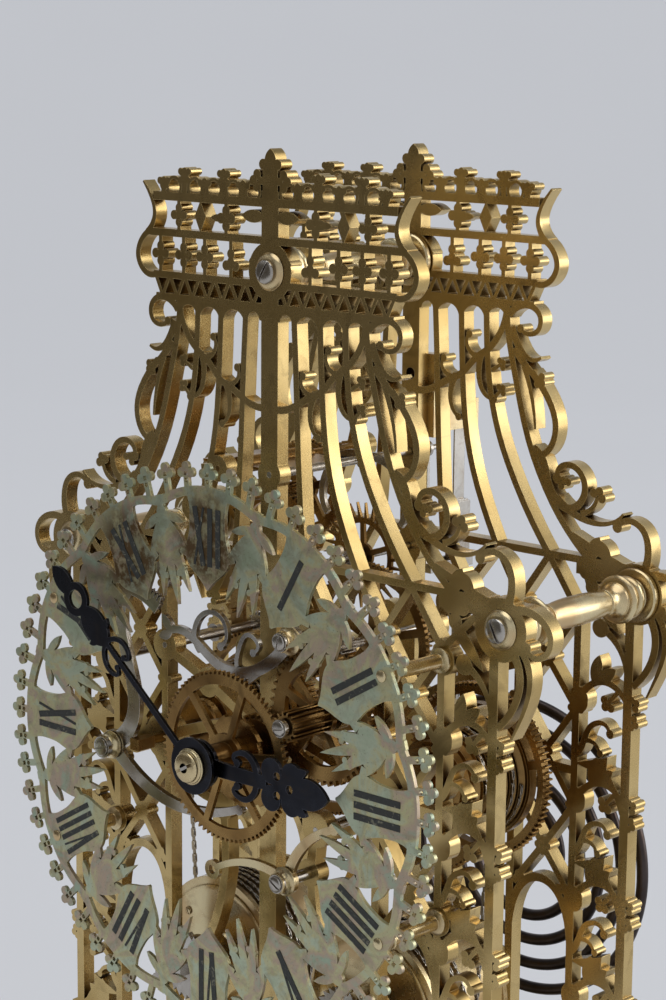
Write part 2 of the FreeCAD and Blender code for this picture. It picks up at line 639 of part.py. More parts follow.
def fasteners():
    """Domed brass washers and domed steel screws at both ends of every pillar."""
    washers = []
    screws = []
    for x, z in PILLARS:
        for face, away in ((0, -1), (BACK, 1)):
            low = face if away > 0 else face - size("washer_height")
            turn = ALONG_DEPTH
            wide = "Sizes.washer_radius"
            narrow = "Sizes.washer_radius * 0.72"
            ends = (wide, narrow) if away > 0 else (narrow, wide)
            washers.append(cut(cone(ends[0], ends[1], "Sizes.washer_height", x, low, z, turn),
                               cylinder("Sizes.shank_radius", "Sizes.washer_height", x, low, z)))
            head = face + away * size("washer_height")
            dome = size("screw_dome")
            start = head if away > 0 else head - dome
            small = "Sizes.screw_radius * 0.55"
            full = "Sizes.screw_radius"
            ends = (full, small) if away > 0 else (small, full)
            screws.append(cone(ends[0], ends[1], "Sizes.screw_dome", x, start, z, turn))
    shank = cylinder("Sizes.shank_radius", "8", 0, BACK - 4.4, 56)
    head = cylinder("Sizes.screw_radius * 0.9", "1.6", 0, BACK + 3.6, 56)
    screws.append(joined_objects([shank, head]))
    grouped("frame_washers", washers)
    grouped("frame_screws", screws)


# ---------------------------------------------------------------- dial and hands

DIAL_BACK = -size("dial_front")
DIAL_FACE = DIAL_BACK - size("dial_thickness")


def about_dial(radius, angle):
    """A point of the dial from its radius and its angle clockwise from twelve."""
    turn = math.radians(90 - angle)
    return (radius * math.cos(turn), CENTRE[1] + radius * math.sin(turn))


def turned(face, angle):
    """A flat face turned clockwise about the dial's middle."""
    copy = face.copy()
    copy.rotate(spot(*CENTRE), DEPTH, angle)
    return copy


SHIELD = ((51, 0.3), (53.4, 2.4), (55.6, 5.2), (58, 7.8), (61, 9), (66, 7.8), (71, 7.2), (75, 7.4),
          (78.6, 8.8))


def shield():
    """The numeral shield at twelve: narrow waist, broad shoulders and a pointed inner end."""
    edges = []
    ends = []
    for side in (-1, 1):
        points = [spot(half * side, CENTRE[1] + radius) for radius, half in SHIELD]
        curve = Part.BSplineCurve()
        curve.interpolate(points)
        edges.append(curve.toShape())
        ends.append((points[0], points[-1]))
    inner = Part.makeLine(ends[0][0], ends[1][0])
    outer = Part.makeLine(ends[0][1], ends[1][1])
    return Part.Face(Part.Wire([edges[0], outer, edges[1], inner]))


def dial_leaves(angle):
    """A fan of long pointed leaves that grows inwards between two shields."""
    inwards = -90 - angle
    root = about_dial(74, angle)
    parts = [stroke([about_dial(79, angle), root], 2.6, 2.2), disc(*root, 2)]
    for lean, length, width in ((0, 27.5, 3.2), (13, 25, 2.9), (-13, 25, 2.9), (31, 16, 2.9),
                                (-31, 16, 2.9), (64, 9.6, 2.6), (-64, 9.6, 2.6)):
        parts.append(leaf(root[0], root[1], inwards + lean, length, width))
    for sign in (1, -1):
        parts += sprig([about_dial(68, angle + 1.4 * sign), about_dial(64.4, angle + 3.4 * sign)],
                       1.2, 0.9, 0.95)
        parts += sprig([about_dial(60, angle + 1.2 * sign), about_dial(56.4, angle + 3.6 * sign)],
                       1.1, 0.9, 0.95)
        parts.append(stroke([about_dial(62.4, angle + 4.6 * sign), about_dial(61, angle + 7.4 * sign)], 1.6))
    return parts


def dial_border():
    """One twelfth of the outer edge: a waved band that carries drilled three-lobed buds."""
    wave = [(76.9, -15.1), (78.6, -10), (79.6, -5), (79.8, 0), (79.6, 5), (78.6, 10), (76.9, 15.1)]
    parts = [stroke([about_dial(radius, angle) for radius, angle in wave], 2.6)]
    outer = size("dial_outer")
    for angle in range(-12, 13, 6):
        parts.append(stroke([about_dial(outer - 10, angle), about_dial(outer - 4, angle)], 2))
        for radius, offset, bud in ((outer - 3.2, -1.35, 1.4), (outer - 3.2, 1.35, 1.4),
                                    (outer - 1.4, 0, 1.4)):
            parts.append(disc(*about_dial(radius, angle + offset), bud))
    return parts


def dial():
    """Pierced dial ring on four posts, with filled numeral bars on its shields."""
    sector = joined([joined([shield()] + dial_leaves(15)), joined(dial_border())])
    drilled = [disc(*about_dial(size("dial_outer") - 5.4, angle), 0.7) for angle in range(-12, 13, 6)]
    sector = sector.cut(Part.makeCompound(drilled))
    whole = joined([turned(sector, 30 * hour) for hour in range(12)])
    whole = joined([whole] + [disc(x, z, 3.6) for x, z in DIAL_POSTS])
    face = whole.cut(Part.makeCompound([disc(x, z, 1.2) for x, z in DIAL_POSTS]))
    keep("dial_ring", shaped("dial_ring", raised(face, DIAL_FACE, size("dial_thickness"))))
    depth = size("numeral_depth")
    bars = [raised(turned(bar, 30 * hour), DIAL_FACE - depth, depth)
            for hour in range(12) for bar in numeral(NUMERALS[hour])]
    keep("dial_numerals", shaped("dial_numerals", Part.makeCompound(bars)))
    posts = []
    for x, z in DIAL_POSTS:
        post = cylinder("Sizes.post_radius", "Sizes.dial_front", x, DIAL_BACK, z)
        collar = cylinder("Sizes.post_radius * 1.7", "2", x, -2, z)
        spigot = cylinder("1.2", "Sizes.dial_thickness + 0.6", x, DIAL_FACE - 0.6, z)
        posts.append(joined_objects([post, collar, spigot]))
    grouped("dial_posts", posts)


NUMERALS = ("XII", "I", "II", "III", "IIII", "V", "VI", "VII", "VIII", "IX", "X", "XI")
LETTER_WIDTH = {"I": 3.3, "V": 5.2, "X": 5.6}


def numeral(text):
    """The bars of one Roman numeral at twelve, its feet towards the dial's middle."""
    low = CENTRE[1] + 58
    high = CENTRE[1] + 75
    total = sum(LETTER_WIDTH[letter] for letter in text)
    squeeze = min(1, 12.6 / total)
    thick = size("numeral_width") * squeeze
    thin = thick * 0.4
    at = -total / 2
    bars = []
    for letter in text:
        left = (at + 1) * squeeze
        right = (at + LETTER_WIDTH[letter] - 1) * squeeze
        middle = (left + right) / 2
        if letter == "I":
            bars.append(stroke([(middle, low), (middle, high)], thick))
        elif letter == "V":
            bars.append(joined([stroke([(middle, low), (left, high)], thick),
                                stroke([(middle, low), (right, high)], thin)]))
        else:
            bars.append(joined([stroke([(right, low), (left, high)], thick),
                                stroke([(left, low), (right, high)], thin)]))
        at += LETTER_WIDTH[letter]
    return bars


HOUR_HAND_TURN = 0
MINUTE_HAND_TURN = -140.5


def hand_face(parts, holes, turn):
    """A pierced hand drawn along x from the dial's middle, turned to its place."""
    face = joined(parts).cut(Part.makeCompound(holes))
    face.translate(spot(*CENTRE))
    return turned(face, turn)


def hour_hand():
    """Short hand: boss, hooked scrolls, a pierced lobed head and a cusped tip."""
    parts = [disc(0, 0, 7.2), stroke([(4, 0), (27, 0)], 4.8, 4)]
    for sign in (1, -1):
        parts += scroll([(23, 1 * sign), (21.6, 5 * sign), (17.4, 6.8 * sign), (14, 5 * sign),
                         (15.4, 3.4 * sign)], 2.2, 1.2, 1.2)
        parts.append(leaf(37, 4 * sign, 24 * sign, 6.4, 3))
    parts += foil(33, 0, 5.6, 3.8, 4, 45)
    parts.append(leaf(35, 0, 0, 16, 9))
    holes = [disc(0, 0, 4.6)]
    holes += [disc(*polar((33, 0), 3.3, angle), 1.3) for angle in (0, 120, 240)]
    face = hand_face(parts, holes, HOUR_HAND_TURN)
    keep("hour_hand", shaped("hour_hand", raised(face, -28.4, 1.2)))


def minute_hand():
    """Long hand: boss, slender rod, tendrils, a lozenge leaf, a ring and a pointed tip."""
    parts = [disc(0, 0, 8.4), stroke([(4, 0), (50, 0)], 2, 1.6)]
    for sign in (1, -1):
        parts += scroll([(47.5, 0.4 * sign), (45, 4.4 * sign), (41, 5.4 * sign), (38, 3.6 * sign),
                         (39.6, 2.2 * sign)], 1.6, 0.9, 0.9)
        parts.append(leaf(50, 2 * sign, 60 * sign, 4.4, 2))
    parts += [leaf(46.5, 0, 0, 15.4, 9.4), disc(65, 0, 5.2), leaf(66.5, 0, 0, 12, 6.4)]
    holes = [disc(0, 0, 1.5), disc(65, 0, 2.9)]
    face = hand_face(parts, holes, MINUTE_HAND_TURN)
    keep("minute_hand", shaped("minute_hand", raised(face, -31.6, 1.1)))


def hands():
    """Blued hands pierced in the Gothic manner, and the domed nut that holds them."""
    hour_hand()
    minute_hand()
    collar = cylinder("5.4", "0.8", 0, -32.4, CENTRE[1])
    dome = cone("2.6", "5.2", "2.4", 0, -34.8, CENTRE[1])
    bore = cylinder("1.5", "3.2", 0, -34.8, CENTRE[1])
    keep("hand_nut", cut(joined_objects([collar, dome]), bore))


# ---------------------------------------------------------------- wheels, pinions, arbors

WHEEL_TOOTH = ((-0.215, -1.15), (-0.19, 0), (-0.15, 0.45), (-0.075, 0.85), (0.075, 0.85),
               (0.15, 0.45), (0.19, 0), (0.215, -1.15))
LEAF_TOOTH = ((-0.16, -1.35), (-0.16, 0), (-0.13, 0.3), (-0.05, 0.55), (0.05, 0.55),
              (0.13, 0.3), (0.16, 0), (0.16, -1.35))


def toothed(place, teeth, module, phase, tooth):
    """A toothed outline; phase is the angle of one tooth's middle, in degrees."""
    pitch = 360 / teeth
    radius = teeth * module / 2
    points = [polar(place, radius + module * rise, phase + pitch * (number + share))
              for number in range(teeth) for share, rise in tooth]
    return polygon(points)


def in_mesh(place, teeth, phase, other, other_teeth):
    """The phase that puts the other wheel's teeth between this one's."""
    way = math.degrees(math.atan2(other[1] - place[1], other[0] - place[0]))
    share = (phase - way) / (360 / teeth)
    return way + 180 + 360 / other_teeth * (0.5 - share)


def crossings(place, hub, inner_rim, arms, arm_width, first=0.0):
    """The windows between a wheel's arms."""
    windows = []
    for number in range(arms):
        corners = []
        for radius in (hub, inner_rim):
            lean = math.degrees(math.asin(arm_width / 2 / radius))
            corners.append((radius, first + 360 / arms * number + lean,
                            first + 360 / arms * (number + 1) - lean))
        (low, low_a, low_b), (high, high_a, high_b) = corners
        edges = [Part.Arc(spot(*polar(place, low, low_a)), spot(*polar(place, low, (low_a + low_b) / 2)),
                          spot(*polar(place, low, low_b))).toShape(),
                 Part.makeLine(spot(*polar(place, low, low_b)), spot(*polar(place, high, high_b))),
                 Part.Arc(spot(*polar(place, high, high_b)),
                          spot(*polar(place, high, (high_a + high_b) / 2)),
                          spot(*polar(place, high, high_a))).toShape(),
                 Part.makeLine(spot(*polar(place, high, high_a)), spot(*polar(place, low, low_a)))]
        windows.append(Part.Face(Part.Wire(edges)))
    return windows


def crossed(place, teeth_alias, module_alias, y, thickness, bore, hub, arms, rim=3.0):
    """A crossed-out wheel whose first tooth points along x."""
    teeth = count(teeth_alias)
    module = size(module_alias)
    root = teeth * module / 2 - 1.15 * module
    blank = toothed(place, teeth, module, 0, WHEEL_TOOTH)
    windows = crossings(place, hub, root - rim, arms, 2.6, 15) + [disc(place[0], place[1], bore)]
    return shaped("crossed_wheel", raised(blank.cut(Part.makeCompound(windows)), y, thickness))


def wheel(label, *sizes, rim=3.0):
    """A brass wheel that is a sub-part of its own, riveted on its arbor."""
    return keep(label, crossed(*sizes, rim=rim))


def pinion(place, leaves_alias, module_alias, y, length, phase):
    """Solid pinion leaves, to be joined with their arbor."""
    outline = toothed(place, count(leaves_alias), size(module_alias), phase, LEAF_TOOTH)
    return shaped("leaves", raised(outline, y, length))


def arbor(label, place, radius, pivot, extras, front_reach=0.0, back_reach=0.0):
    """A steel arbor with a pivot in each plate; reaches carry the pivots past the plates."""
    x, z = place
    shake = size("end_shake")
    body = cylinder(radius, "Sizes.plate_pitch - Sizes.plate_thickness - 2 * Sizes.end_shake",
                    x, PLATE + shake, z)
    front = cylinder(pivot, "%g" % (PLATE + shake + front_reach), x, -front_reach, z)
    back = cylinder(pivot, "%g" % (PLATE + shake + back_reach), x, PITCH - shake, z)
    return fused(label, [body, front, back] + extras)


def going_train():
    """Fusee, intermediate, centre, third and escape arbors with their wheels."""
    great = count("great_teeth")
    between_phase = in_mesh(FUSEE, great, 0, BETWEEN, count("great_pinion"))
    centre_phase = in_mesh(BETWEEN, count("between_teeth"), 0, CENTRE, count("centre_pinion"))
    third_phase = in_mesh(CENTRE, count("centre_teeth"), 0, THIRD, count("third_pinion"))
    escape_phase = in_mesh(THIRD, count("third_teeth"), 0, ESCAPE, count("escape_pinion"))
    wheel("great_wheel_going", FUSEE, "great_teeth", "great_module", 42, 3, 3, 20.5, 4, rim=2.2)
    fusee("fusee_going", FUSEE)
    arbor("intermediate_arbor", BETWEEN, "Sizes.arbor_radius", "Sizes.pivot_radius",
          [pinion(BETWEEN, "great_pinion", "great_module", 40.5, 6, between_phase)])
    wheel("intermediate_wheel", BETWEEN, "between_teeth", "between_module", 50, 2, 1.5, 5, 5)
    arbor("centre_arbor", CENTRE, "Sizes.arbor_radius * 1.3", "Sizes.arbor_radius",
          [pinion(CENTRE, "centre_pinion", "between_module", 48, 6, centre_phase)], 34.8)
    wheel("centre_wheel", CENTRE, "centre_teeth", "centre_module", 24, 2, 1.95, 6, 6)
    arbor("third_arbor", THIRD, "Sizes.arbor_radius", "Sizes.pivot_radius",
          [pinion(THIRD, "third_pinion", "centre_module", 22, 6, third_phase)])
    wheel("third_wheel", THIRD, "third_teeth", "third_module", 36, 1.6, 1.5, 5, 5)
    arbor("escape_arbor", ESCAPE, "Sizes.pivot_radius * 1.4", "Sizes.pivot_radius",
          [pinion(ESCAPE, "escape_pinion", "third_module", 33.8, 6, escape_phase)])
    escape_wheel()


def fusee(label, place):
    """Grooved cone on its arbor, with a square at the front for winding."""
    x, z = place
    grooves = []
    turns = 9
    step = 26 / turns
    small = size("fusee_small")
    large = size("fusee_large")
    for turn in range(turns):
        share = turn / (turns - 1)
        radius = small + (large - small) * share ** 0.7
        grooves.append(cone("%g" % radius, "%g" % (radius - 1.1), "%g" % (step / 2), x,
                            15.4 + step * turn, z))
        grooves.append(cone("%g" % (radius - 1.1), "%g" % radius, "%g" % (step / 2), x,
                            15.4 + step * (turn + 0.5), z))
    end_plate = cylinder("Sizes.fusee_small * 1.05", "1.2", x, 14.2, z)
    back_plate = cylinder("Sizes.fusee_large + 1", "0.5", x, 41.4, z)
    square = box("3.6", "7", "3.6", x - 1.8, -12, z - 1.8)
    neck = cylinder("Sizes.arbor_radius", "5", x, -5, z)
    arbor(label, place, "3", "Sizes.arbor_radius", grooves + [end_plate, back_plate, square, neck])


def escape_wheel():
    """Thirty long slender teeth on a light crossed wheel."""
    teeth = count("escape_teeth")
    radius = size("escape_radius")
    pitch = 360 / teeth
    points = []
    for number in range(teeth):
        for share, at in ((-0.16, radius - 4.6), (0.26, radius), (0.33, radius), (0.3, radius - 4.6)):
            points.append(polar(ESCAPE, at, pitch * (number + share)))
    blank = polygon(points)
    windows = crossings(ESCAPE, 4, radius - 6.4, 5, 1.7, 20)
    windows.append(disc(ESCAPE[0], ESCAPE[1], size("pivot_radius") * 1.4))
    face = blank.cut(Part.makeCompound(windows))
    keep("escape_wheel", shaped("escape_wheel", raised(face, 41, 1)))


def motion_work():
    """Cannon wheel, minute wheel on its stud, and hour wheel with its pipe and snail."""
    minute_phase = in_mesh(CENTRE, count("cannon_teeth"), 0, MINUTE, count("minute_teeth"))
    hour_phase = in_mesh(MINUTE, count("minute_pinion"), 0, CENTRE, count("hour_teeth"))
    cannon = toothed(CENTRE, count("cannon_teeth"), size("minute_module"), 0, LEAF_TOOTH)
    bored = cannon.cut(disc(CENTRE[0], CENTRE[1], size("arbor_radius")))
    pipe = raised(ring(CENTRE[0], CENTRE[1], 2.9, size("arbor_radius")), -30.5, 25.6)
    keep("cannon_pinion", shaped("cannon_pinion", raised(bored, -5.2, 2.6).fuse(pipe)))
    minute_wheel = toothed(MINUTE, count("minute_teeth"), size("minute_module"), minute_phase,
                           WHEEL_TOOTH)
    bore = size("shank_radius") + size("pivot_play")
    windows = crossings(MINUTE, 5, 14.5, 5, 2.4, 15) + [disc(MINUTE[0], MINUTE[1], bore)]
    flat = raised(minute_wheel.cut(Part.makeCompound(windows)), -4.8, 1.8)
    leaves = toothed(MINUTE, count("minute_pinion"), size("hour_module"), 0, LEAF_TOOTH)
    drum = raised(leaves.cut(disc(MINUTE[0], MINUTE[1], bore)), -19.6, 14.8)
    keep("minute_wheel", shaped("minute_wheel", flat.fuse(drum)))
    hour_blank = toothed(CENTRE, count("hour_teeth"), size("hour_module"), hour_phase, WHEEL_TOOTH)
    bore = 2.9 + size("pivot_play")
    windows = crossings(CENTRE, 7, 21.6, 6, 2.2, 10) + [disc(CENTRE[0], CENTRE[1], bore)]
    wheel_part = raised(hour_blank.cut(Part.makeCompound(windows)), -18.6, 1.4)
    pipe = raised(ring(CENTRE[0], CENTRE[1], 4.6, bore), -28.4, 20.4)
    keep("hour_wheel", shaped("hour_wheel", wheel_part.fuse(pipe)))
    snail()


def snail():
    """The stepped hour snail on the hour pipe, each step a twelfth of a turn."""
    points = []
    for hour in range(12):
        radius = 18 - 0.85 * hour
        for share in (0, 0.5, 0.98):
            points.append(polar(CENTRE, radius, -30 * (hour + share)))
    face = polygon(points).cut(disc(CENTRE[0], CENTRE[1], 4.6))
    keep("hour_snail", shaped("hour_snail", raised(face, -12.4, 1.6)))


def strike_train():
    """Fusee, pin wheel, gathering, warning and fly arbors of the striking side."""
    great = count("great_teeth")
    pin_phase = in_mesh(STRIKE_FUSEE, great, 0, PIN, count("pin_pinion"))
    gather_phase = in_mesh(PIN, count("pin_teeth"), 0, GATHER, count("gather_pinion"))
    warn_phase = in_mesh(GATHER, count("gather_teeth"), 0, WARN, count("warn_pinion"))
    fly_phase = in_mesh(WARN, count("warn_teeth"), 0, FLY, count("fly_pinion"))
    wheel("great_wheel_strike", STRIKE_FUSEE, "great_teeth", "great_module", 42, 3, 3, 20.5, 4,
          rim=2.2)
    fusee("fusee_strike", STRIKE_FUSEE)
    arbor("pin_wheel_arbor", PIN, "Sizes.arbor_radius", "Sizes.pivot_radius",
          [pinion(PIN, "pin_pinion", "great_module", 40.5, 6, pin_phase)])
    disc_wheel = toothed(PIN, count("pin_teeth"), size("pin_module"), 0, WHEEL_TOOTH)
    windows = crossings(PIN, 5, 16.6, 5, 2.6, 15) + [disc(PIN[0], PIN[1], size("arbor_radius"))]
    solid = raised(disc_wheel.cut(Part.makeCompound(windows)), 50.4, 1.8)
    pins = [raised(disc(*polar(PIN, 18.8, 45 * number), 0.8), 47, 3.6) for number in range(8)]
    keep("pin_wheel", shaped("pin_wheel", solid.multiFuse(pins)))
    gathering = [pinion(GATHER, "gather_pinion", "pin_module", 48.6, 5.4, gather_phase)]
    arbor("gathering_arbor", GATHER, "Sizes.arbor_radius", "Sizes.pivot_radius", gathering, 6)
    wheel("gathering_wheel", GATHER, "gather_teeth", "gather_module", 44, 1.6, 1.5, 4.6, 5)
    pallet = joined([disc(GATHER[0], GATHER[1], 2.4), leaf(GATHER[0], GATHER[1], -60, 6, 3)])
    pallet = pallet.cut(disc(GATHER[0], GATHER[1], size("pivot_radius")))
    keep("gathering_pallet", shaped("gathering_pallet", raised(pallet, -5.6, 2)))
    warning = crossed(WARN, "warn_teeth", "warn_module", 50.2, 1.4, 0.5, 4, 5)
    arbor("warning_wheel", WARN, "Sizes.pivot_radius * 1.4", "Sizes.pivot_radius",
          [warning, pinion(WARN, "warn_pinion", "gather_module", 42.2, 5, warn_phase)])
    vane = box("30", "31", "0.7", FLY[0] - 15, 8.5, FLY[1] - 0.35)
    tube = cylinder("2.6", "31", FLY[0], 8.5, FLY[1])
    arbor("fly", FLY, "Sizes.pivot_radius * 1.4", "Sizes.pivot_radius",
          [pinion(FLY, "fly_pinion", "warn_module", 48.4, 5, fly_phase), vane, tube])


def barrels():
    """Mainspring barrels, their fixed arbors, and the set-up ratchets and clicks."""
    ratchets = []
    arbors = []
    clicks = []
    for side, (x, z) in (("going", BARREL), ("strike", STRIKE_BARREL)):
        drum = cylinder("Sizes.barrel_radius", "Sizes.barrel_length", x, 12, z)
        lips = [cylinder("Sizes.barrel_radius + 1.2", "1.6", x, y, z) for y in (12, 42.4)]
        bore = cylinder("3.05", "Sizes.barrel_length", x, 12, z)
        keep("barrel_" + side, cut(joined_objects([drum] + lips), bore))
        shaft = cylinder("3", "Sizes.plate_pitch + Sizes.plate_thickness", x, 0, z)
        square = box("3.8", "7", "3.8", x - 1.9, -7, z - 1.9)
        arbors.append(joined_objects([shaft, square]))
        points = [polar((x, z), at, 15 * (number + share)) for number in range(24)
                  for share, at in ((0, 9.4), (0.86, 11), (0.98, 9.4))]
        corner = slab(x - 1.9, x + 1.9, z - 1.9, z + 1.9)
        ratchets.append(raised(polygon(points).cut(corner), -2.4, 2.1))
        sign = 1 if x > 0 else -1
        hold = joined([disc(x + 13.4 * sign, z - 8.4, 2.6), leaf(x + 13.4 * sign, z - 8.4,
                                                                90 + 8 * sign, 9, 3.2)])
        clicks.append(raised(hold, -2.4, 2.1))
    grouped("barrel_arbors", arbors)
    keep("setup_ratchets", shaped("setup_ratchets", Part.makeCompound(ratchets)))
    keep("setup_clicks", shaped("setup_clicks", Part.makeCompound(clicks)))


def chains():
    """The straight runs of fusee chain between barrels and fusees."""
    runs = []
    for sign in (1, -1):
        top = (FUSEE[0] + size("fusee_small") + 8.6, FUSEE[1] - 2)
        low = (BARREL[0] + size("barrel_radius") + 2.2, BARREL[1])
        run = stroke([(top[0] * sign, top[1]), (low[0] * sign, low[1])], 1.6)
        runs.append(raised(run, 27, 1.2))
    keep("fusee_chains", shaped("fusee_chains", Part.makeCompound(runs)))


# ---------------------------------------------------------------- escapement, pendulum, striking


def escapement():
    """Anchor pallets on their arbor, with the crutch behind the back plate."""
    nib = size("escape_radius") + 1
    parts = [disc(PALLET[0], PALLET[1], 3.4)]
    for sign in (1, -1):
        tip = polar(ESCAPE, nib + 1.4, 90 - 53 * sign)
        elbow = polar(ESCAPE, nib + 6.6, 90 - 46 * sign)
        parts.append(stroke([PALLET, (elbow[0] * 0.7, PALLET[1] - 2), elbow, tip], 3, 2))
    face = joined(parts).cut(Part.makeCompound([disc(PALLET[0], PALLET[1], 1.3),
                                                disc(ESCAPE[0], ESCAPE[1], nib)]))
    keep("pallets", shaped("pallets", raised(face, 40.9, 1.3)))
    arbor("pallet_arbor", PALLET, "1.3", "Sizes.pivot_radius", [], 0, 9)
    arm = joined([disc(PALLET[0], PALLET[1], 2.6), slab(-1.1, 1.1, -6, PALLET[1])])
    arm = raised(arm.cut(disc(PALLET[0], PALLET[1], size("pivot_radius"))), BACK + 3, 1.2)
    prongs = [raised(slab(x, x + 1, -8, -5), BACK + 3, size("pendulum_depth") - BACK + 1)
              for x in (-3.2, 2.2)]
    bridge = raised(slab(-3.2, 3.2, -8, -5), BACK + 3, 1.2)
    keep("crutch", shaped("crutch", arm.multiFuse(prongs + [bridge])))


def back_cock():
    """Brass bracket on the back plate that carries the pendulum."""
    foot = box("12", "3.6", "26", -6, BACK, 36)
    arm = box("8", "24", "9", -4, BACK, 37)
    slot = box("1.8", "6.4", "8", -0.9, size("pendulum_depth") - 3.2, 36.5)
    hole = cylinder("Sizes.shank_radius", "4", 0, BACK, 56)
    keep("back_cock", cut(cut(joined_objects([foot, arm]), slot), hole))


def pendulum():
    """Suspension spring, rod with its brass block, lenticular bob and rating nut."""
    y = size("pendulum_depth")
    keep("suspension_spring", box("0.5", "5", "30", -0.25, y - 2.5, 13.5))
    block = box("4.2", "7", "20", -2.1, y - 3.5, -7)
    rod = cylinder("1.5", "Sizes.bob_drop + 24", 0, y, -size("bob_drop") - 27, UPRIGHT)
    clamp = box("3.2", "6", "4", -1.6, y - 3, 9.5)
    fused("pendulum_rod", [block, rod, clamp])
    x, z = 0, -size("bob_drop")
    front = cone("Sizes.bob_radius * 0.45", "Sizes.bob_radius", "Sizes.bob_thickness / 2",
                 x, y - size("bob_thickness") / 2, z)
    rear = cone("Sizes.bob_radius", "Sizes.bob_radius * 0.45", "Sizes.bob_thickness / 2", x, y, z)
    bore = cylinder("1.5", "2 * Sizes.bob_radius + 4", 0, y, z - size("bob_radius") - 2, UPRIGHT)
    keep("pendulum_bob", cut(joined_objects([front, rear]), bore))
    nut = cylinder("4", "2.6", 0, y, z - size("bob_radius") - 3, UPRIGHT)
    keep("rating_nut", cut(nut, cylinder("1.5", "2.6", 0, y, z - size("bob_radius") - 3, UPRIGHT)))


def gong():
    """Flat coiled steel gong on a brass standard that rises from the base."""
    x, z = size("gong_reach"), -size("gong_drop")
    y = size("gong_depth")
    wire = size("gong_wire")
    outer = size("gong_radius") - wire / 2
    pitch = size("gong_pitch")
    turns = 4.75
    points = []
    steps = 16
    for step in range(int(turns * steps) + 1):
        angle = 360 / steps * step
        radius = outer - pitch * step / steps
        points.append(Vector(*[polar((x, z), radius, -90 - angle)[0], y,
                               polar((x, z), radius, -90 - angle)[1]]))
    path = Part.BSplineCurve()
    path.interpolate(points)
    spine = Part.Wire(path.toShape())
    start = path.value(path.FirstParameter)
    tangent = path.tangent(path.FirstParameter)[0]
    section = Part.Wire(Part.makeCircle(wire / 2, start, tangent))
    coil = spine.makePipe(Part.Face(section))
    keep("gong", shaped("gong", coil))
    foot_z = -size("plate_drop") - size("foot_height")
    post = cylinder("4.5", "%g" % (z - outer - wire / 2 - foot_z), x, y, foot_z, UPRIGHT)
    plate = cylinder("11", "4", x, y, foot_z, UPRIGHT)
    fused("gong_standard", [post, plate])


def levers():
    """Rack, rack hook and lifting piece on their studs in front of the front plate."""
    studs = []
    for (x, z), front, head in ((MINUTE, 22, 2.6), (RACK, 14, 3.4), (HOOK, 12, 2.8),
                                (LIFTER, 14, 2.8)):
        shaft = cylinder("Sizes.shank_radius", "%g" % (front + PLATE), x, -front, z)
        cap = cylinder("%g" % head, "1.6", x, -front, z)
        studs.append(joined_objects([shaft, cap]))
    grouped("lever_studs", studs)
    bore = size("shank_radius") + size("pivot_play")
    far = math.dist(RACK, GATHER)
    arm_end = polar(RACK, far - 9, 80)
    parts = [disc(*RACK, 4.6), stroke([RACK, polar(RACK, 24, 68), polar(RACK, 44, 84), arm_end], 6, 3.4),
             stroke([polar(RACK, far - 10, 86), polar(RACK, far - 9, 78), polar(RACK, far - 10, 66)], 4),
             stroke([RACK, (-38, -72), (-3.6, -69)], 4.6, 2.4), disc(-3, -69, 1.6)]
    for number in range(12):
        parts.append(leaf(*polar(RACK, far - 8.2, 66.6 + 1.6 * number), 58 + 1.6 * number, 2.6, 1.2))
    face = joined(parts).cut(disc(*RACK, bore))
    keep("rack", shaped("rack", raised(face, -9.4, 1.8)))
    parts = [disc(*HOOK, 4.2), stroke([HOOK, (8, -22), (-4, -27.5), (-16, -26), (-27, -19.6), (-36, -20)],
                                      4.4, 2.2), leaf(-34, -20.6, 128, 7, 3), leaf(-34, -20.6, 196, 6, 3)]
    parts += scroll([(-22, -24), (-24, -17), (-19, -11.6), (-12.6, -12.4), (-10.6, -18), (-13, -21)],
                    1.9, 1.2, 1.3)
    parts += scroll([(-6, -26), (-5, -19.6), (-1, -15.4), (2.6, -17.8), (0.6, -20.6)], 1.7, 1.1, 1.2)
    parts.append(stroke([(7, -23), (1, -28), (-6, -33)], 2, 0.7))
    face = joined(parts).cut(disc(*HOOK, bore))
    keep("rack_hook", shaped("rack_hook", raised(face, -7.2, 1.6)))
    parts = [disc(*LIFTER, 4), stroke([LIFTER, (22, -76), (36, -66)], 3.6, 2.2), disc(36, -66, 1.8),
             stroke([LIFTER, (4, -84), (-14, -90)], 3, 1.8), disc(-14, -90, 3)]
    face = joined(parts).cut(Part.makeCompound([disc(*LIFTER, bore), disc(-14, -90, 1.4)]))
    keep("lifting_piece", shaped("lifting_piece", raised(face, -9.8, 1.6)))


def hammer():
    """Hammer arbor, its tail towards the pin wheel, and the shank and head beside the gong."""
    y = size("gong_depth")
    towards = math.degrees(math.atan2(PIN[1] - HAMMER[1], PIN[0] - HAMMER[0]))
    tail_length = math.dist(HAMMER, PIN) - 18.8 - 0.8 - 0.6
    tail = joined([disc(*HAMMER, 3), stroke([HAMMER, polar(HAMMER, tail_length, towards)], 3, 1.6)])
    arbor("hammer_arbor", HAMMER, "1.9", "Sizes.arbor_radius",
          [shaped("tail", raised(tail, 47.2, 2))], 0, y - BACK + 3)
    head_at = (size("gong_reach") - size("gong_radius") - 7.6, -size("gong_drop"))
    shank = joined([disc(*HAMMER, 3.2), stroke([HAMMER, (head_at[0] - 6, head_at[1] + 30), head_at],
                                               2.6)])
    shank = raised(shank.cut(disc(*HAMMER, 1.5)), y - 1.1, 2.2)
    ram = Part.makeCylinder(4.2, 12, Vector(head_at[0] - 6, y, head_at[1]), Vector(1, 0, 0))
    keep("hammer", shaped("hammer", shank.fuse(ram)))


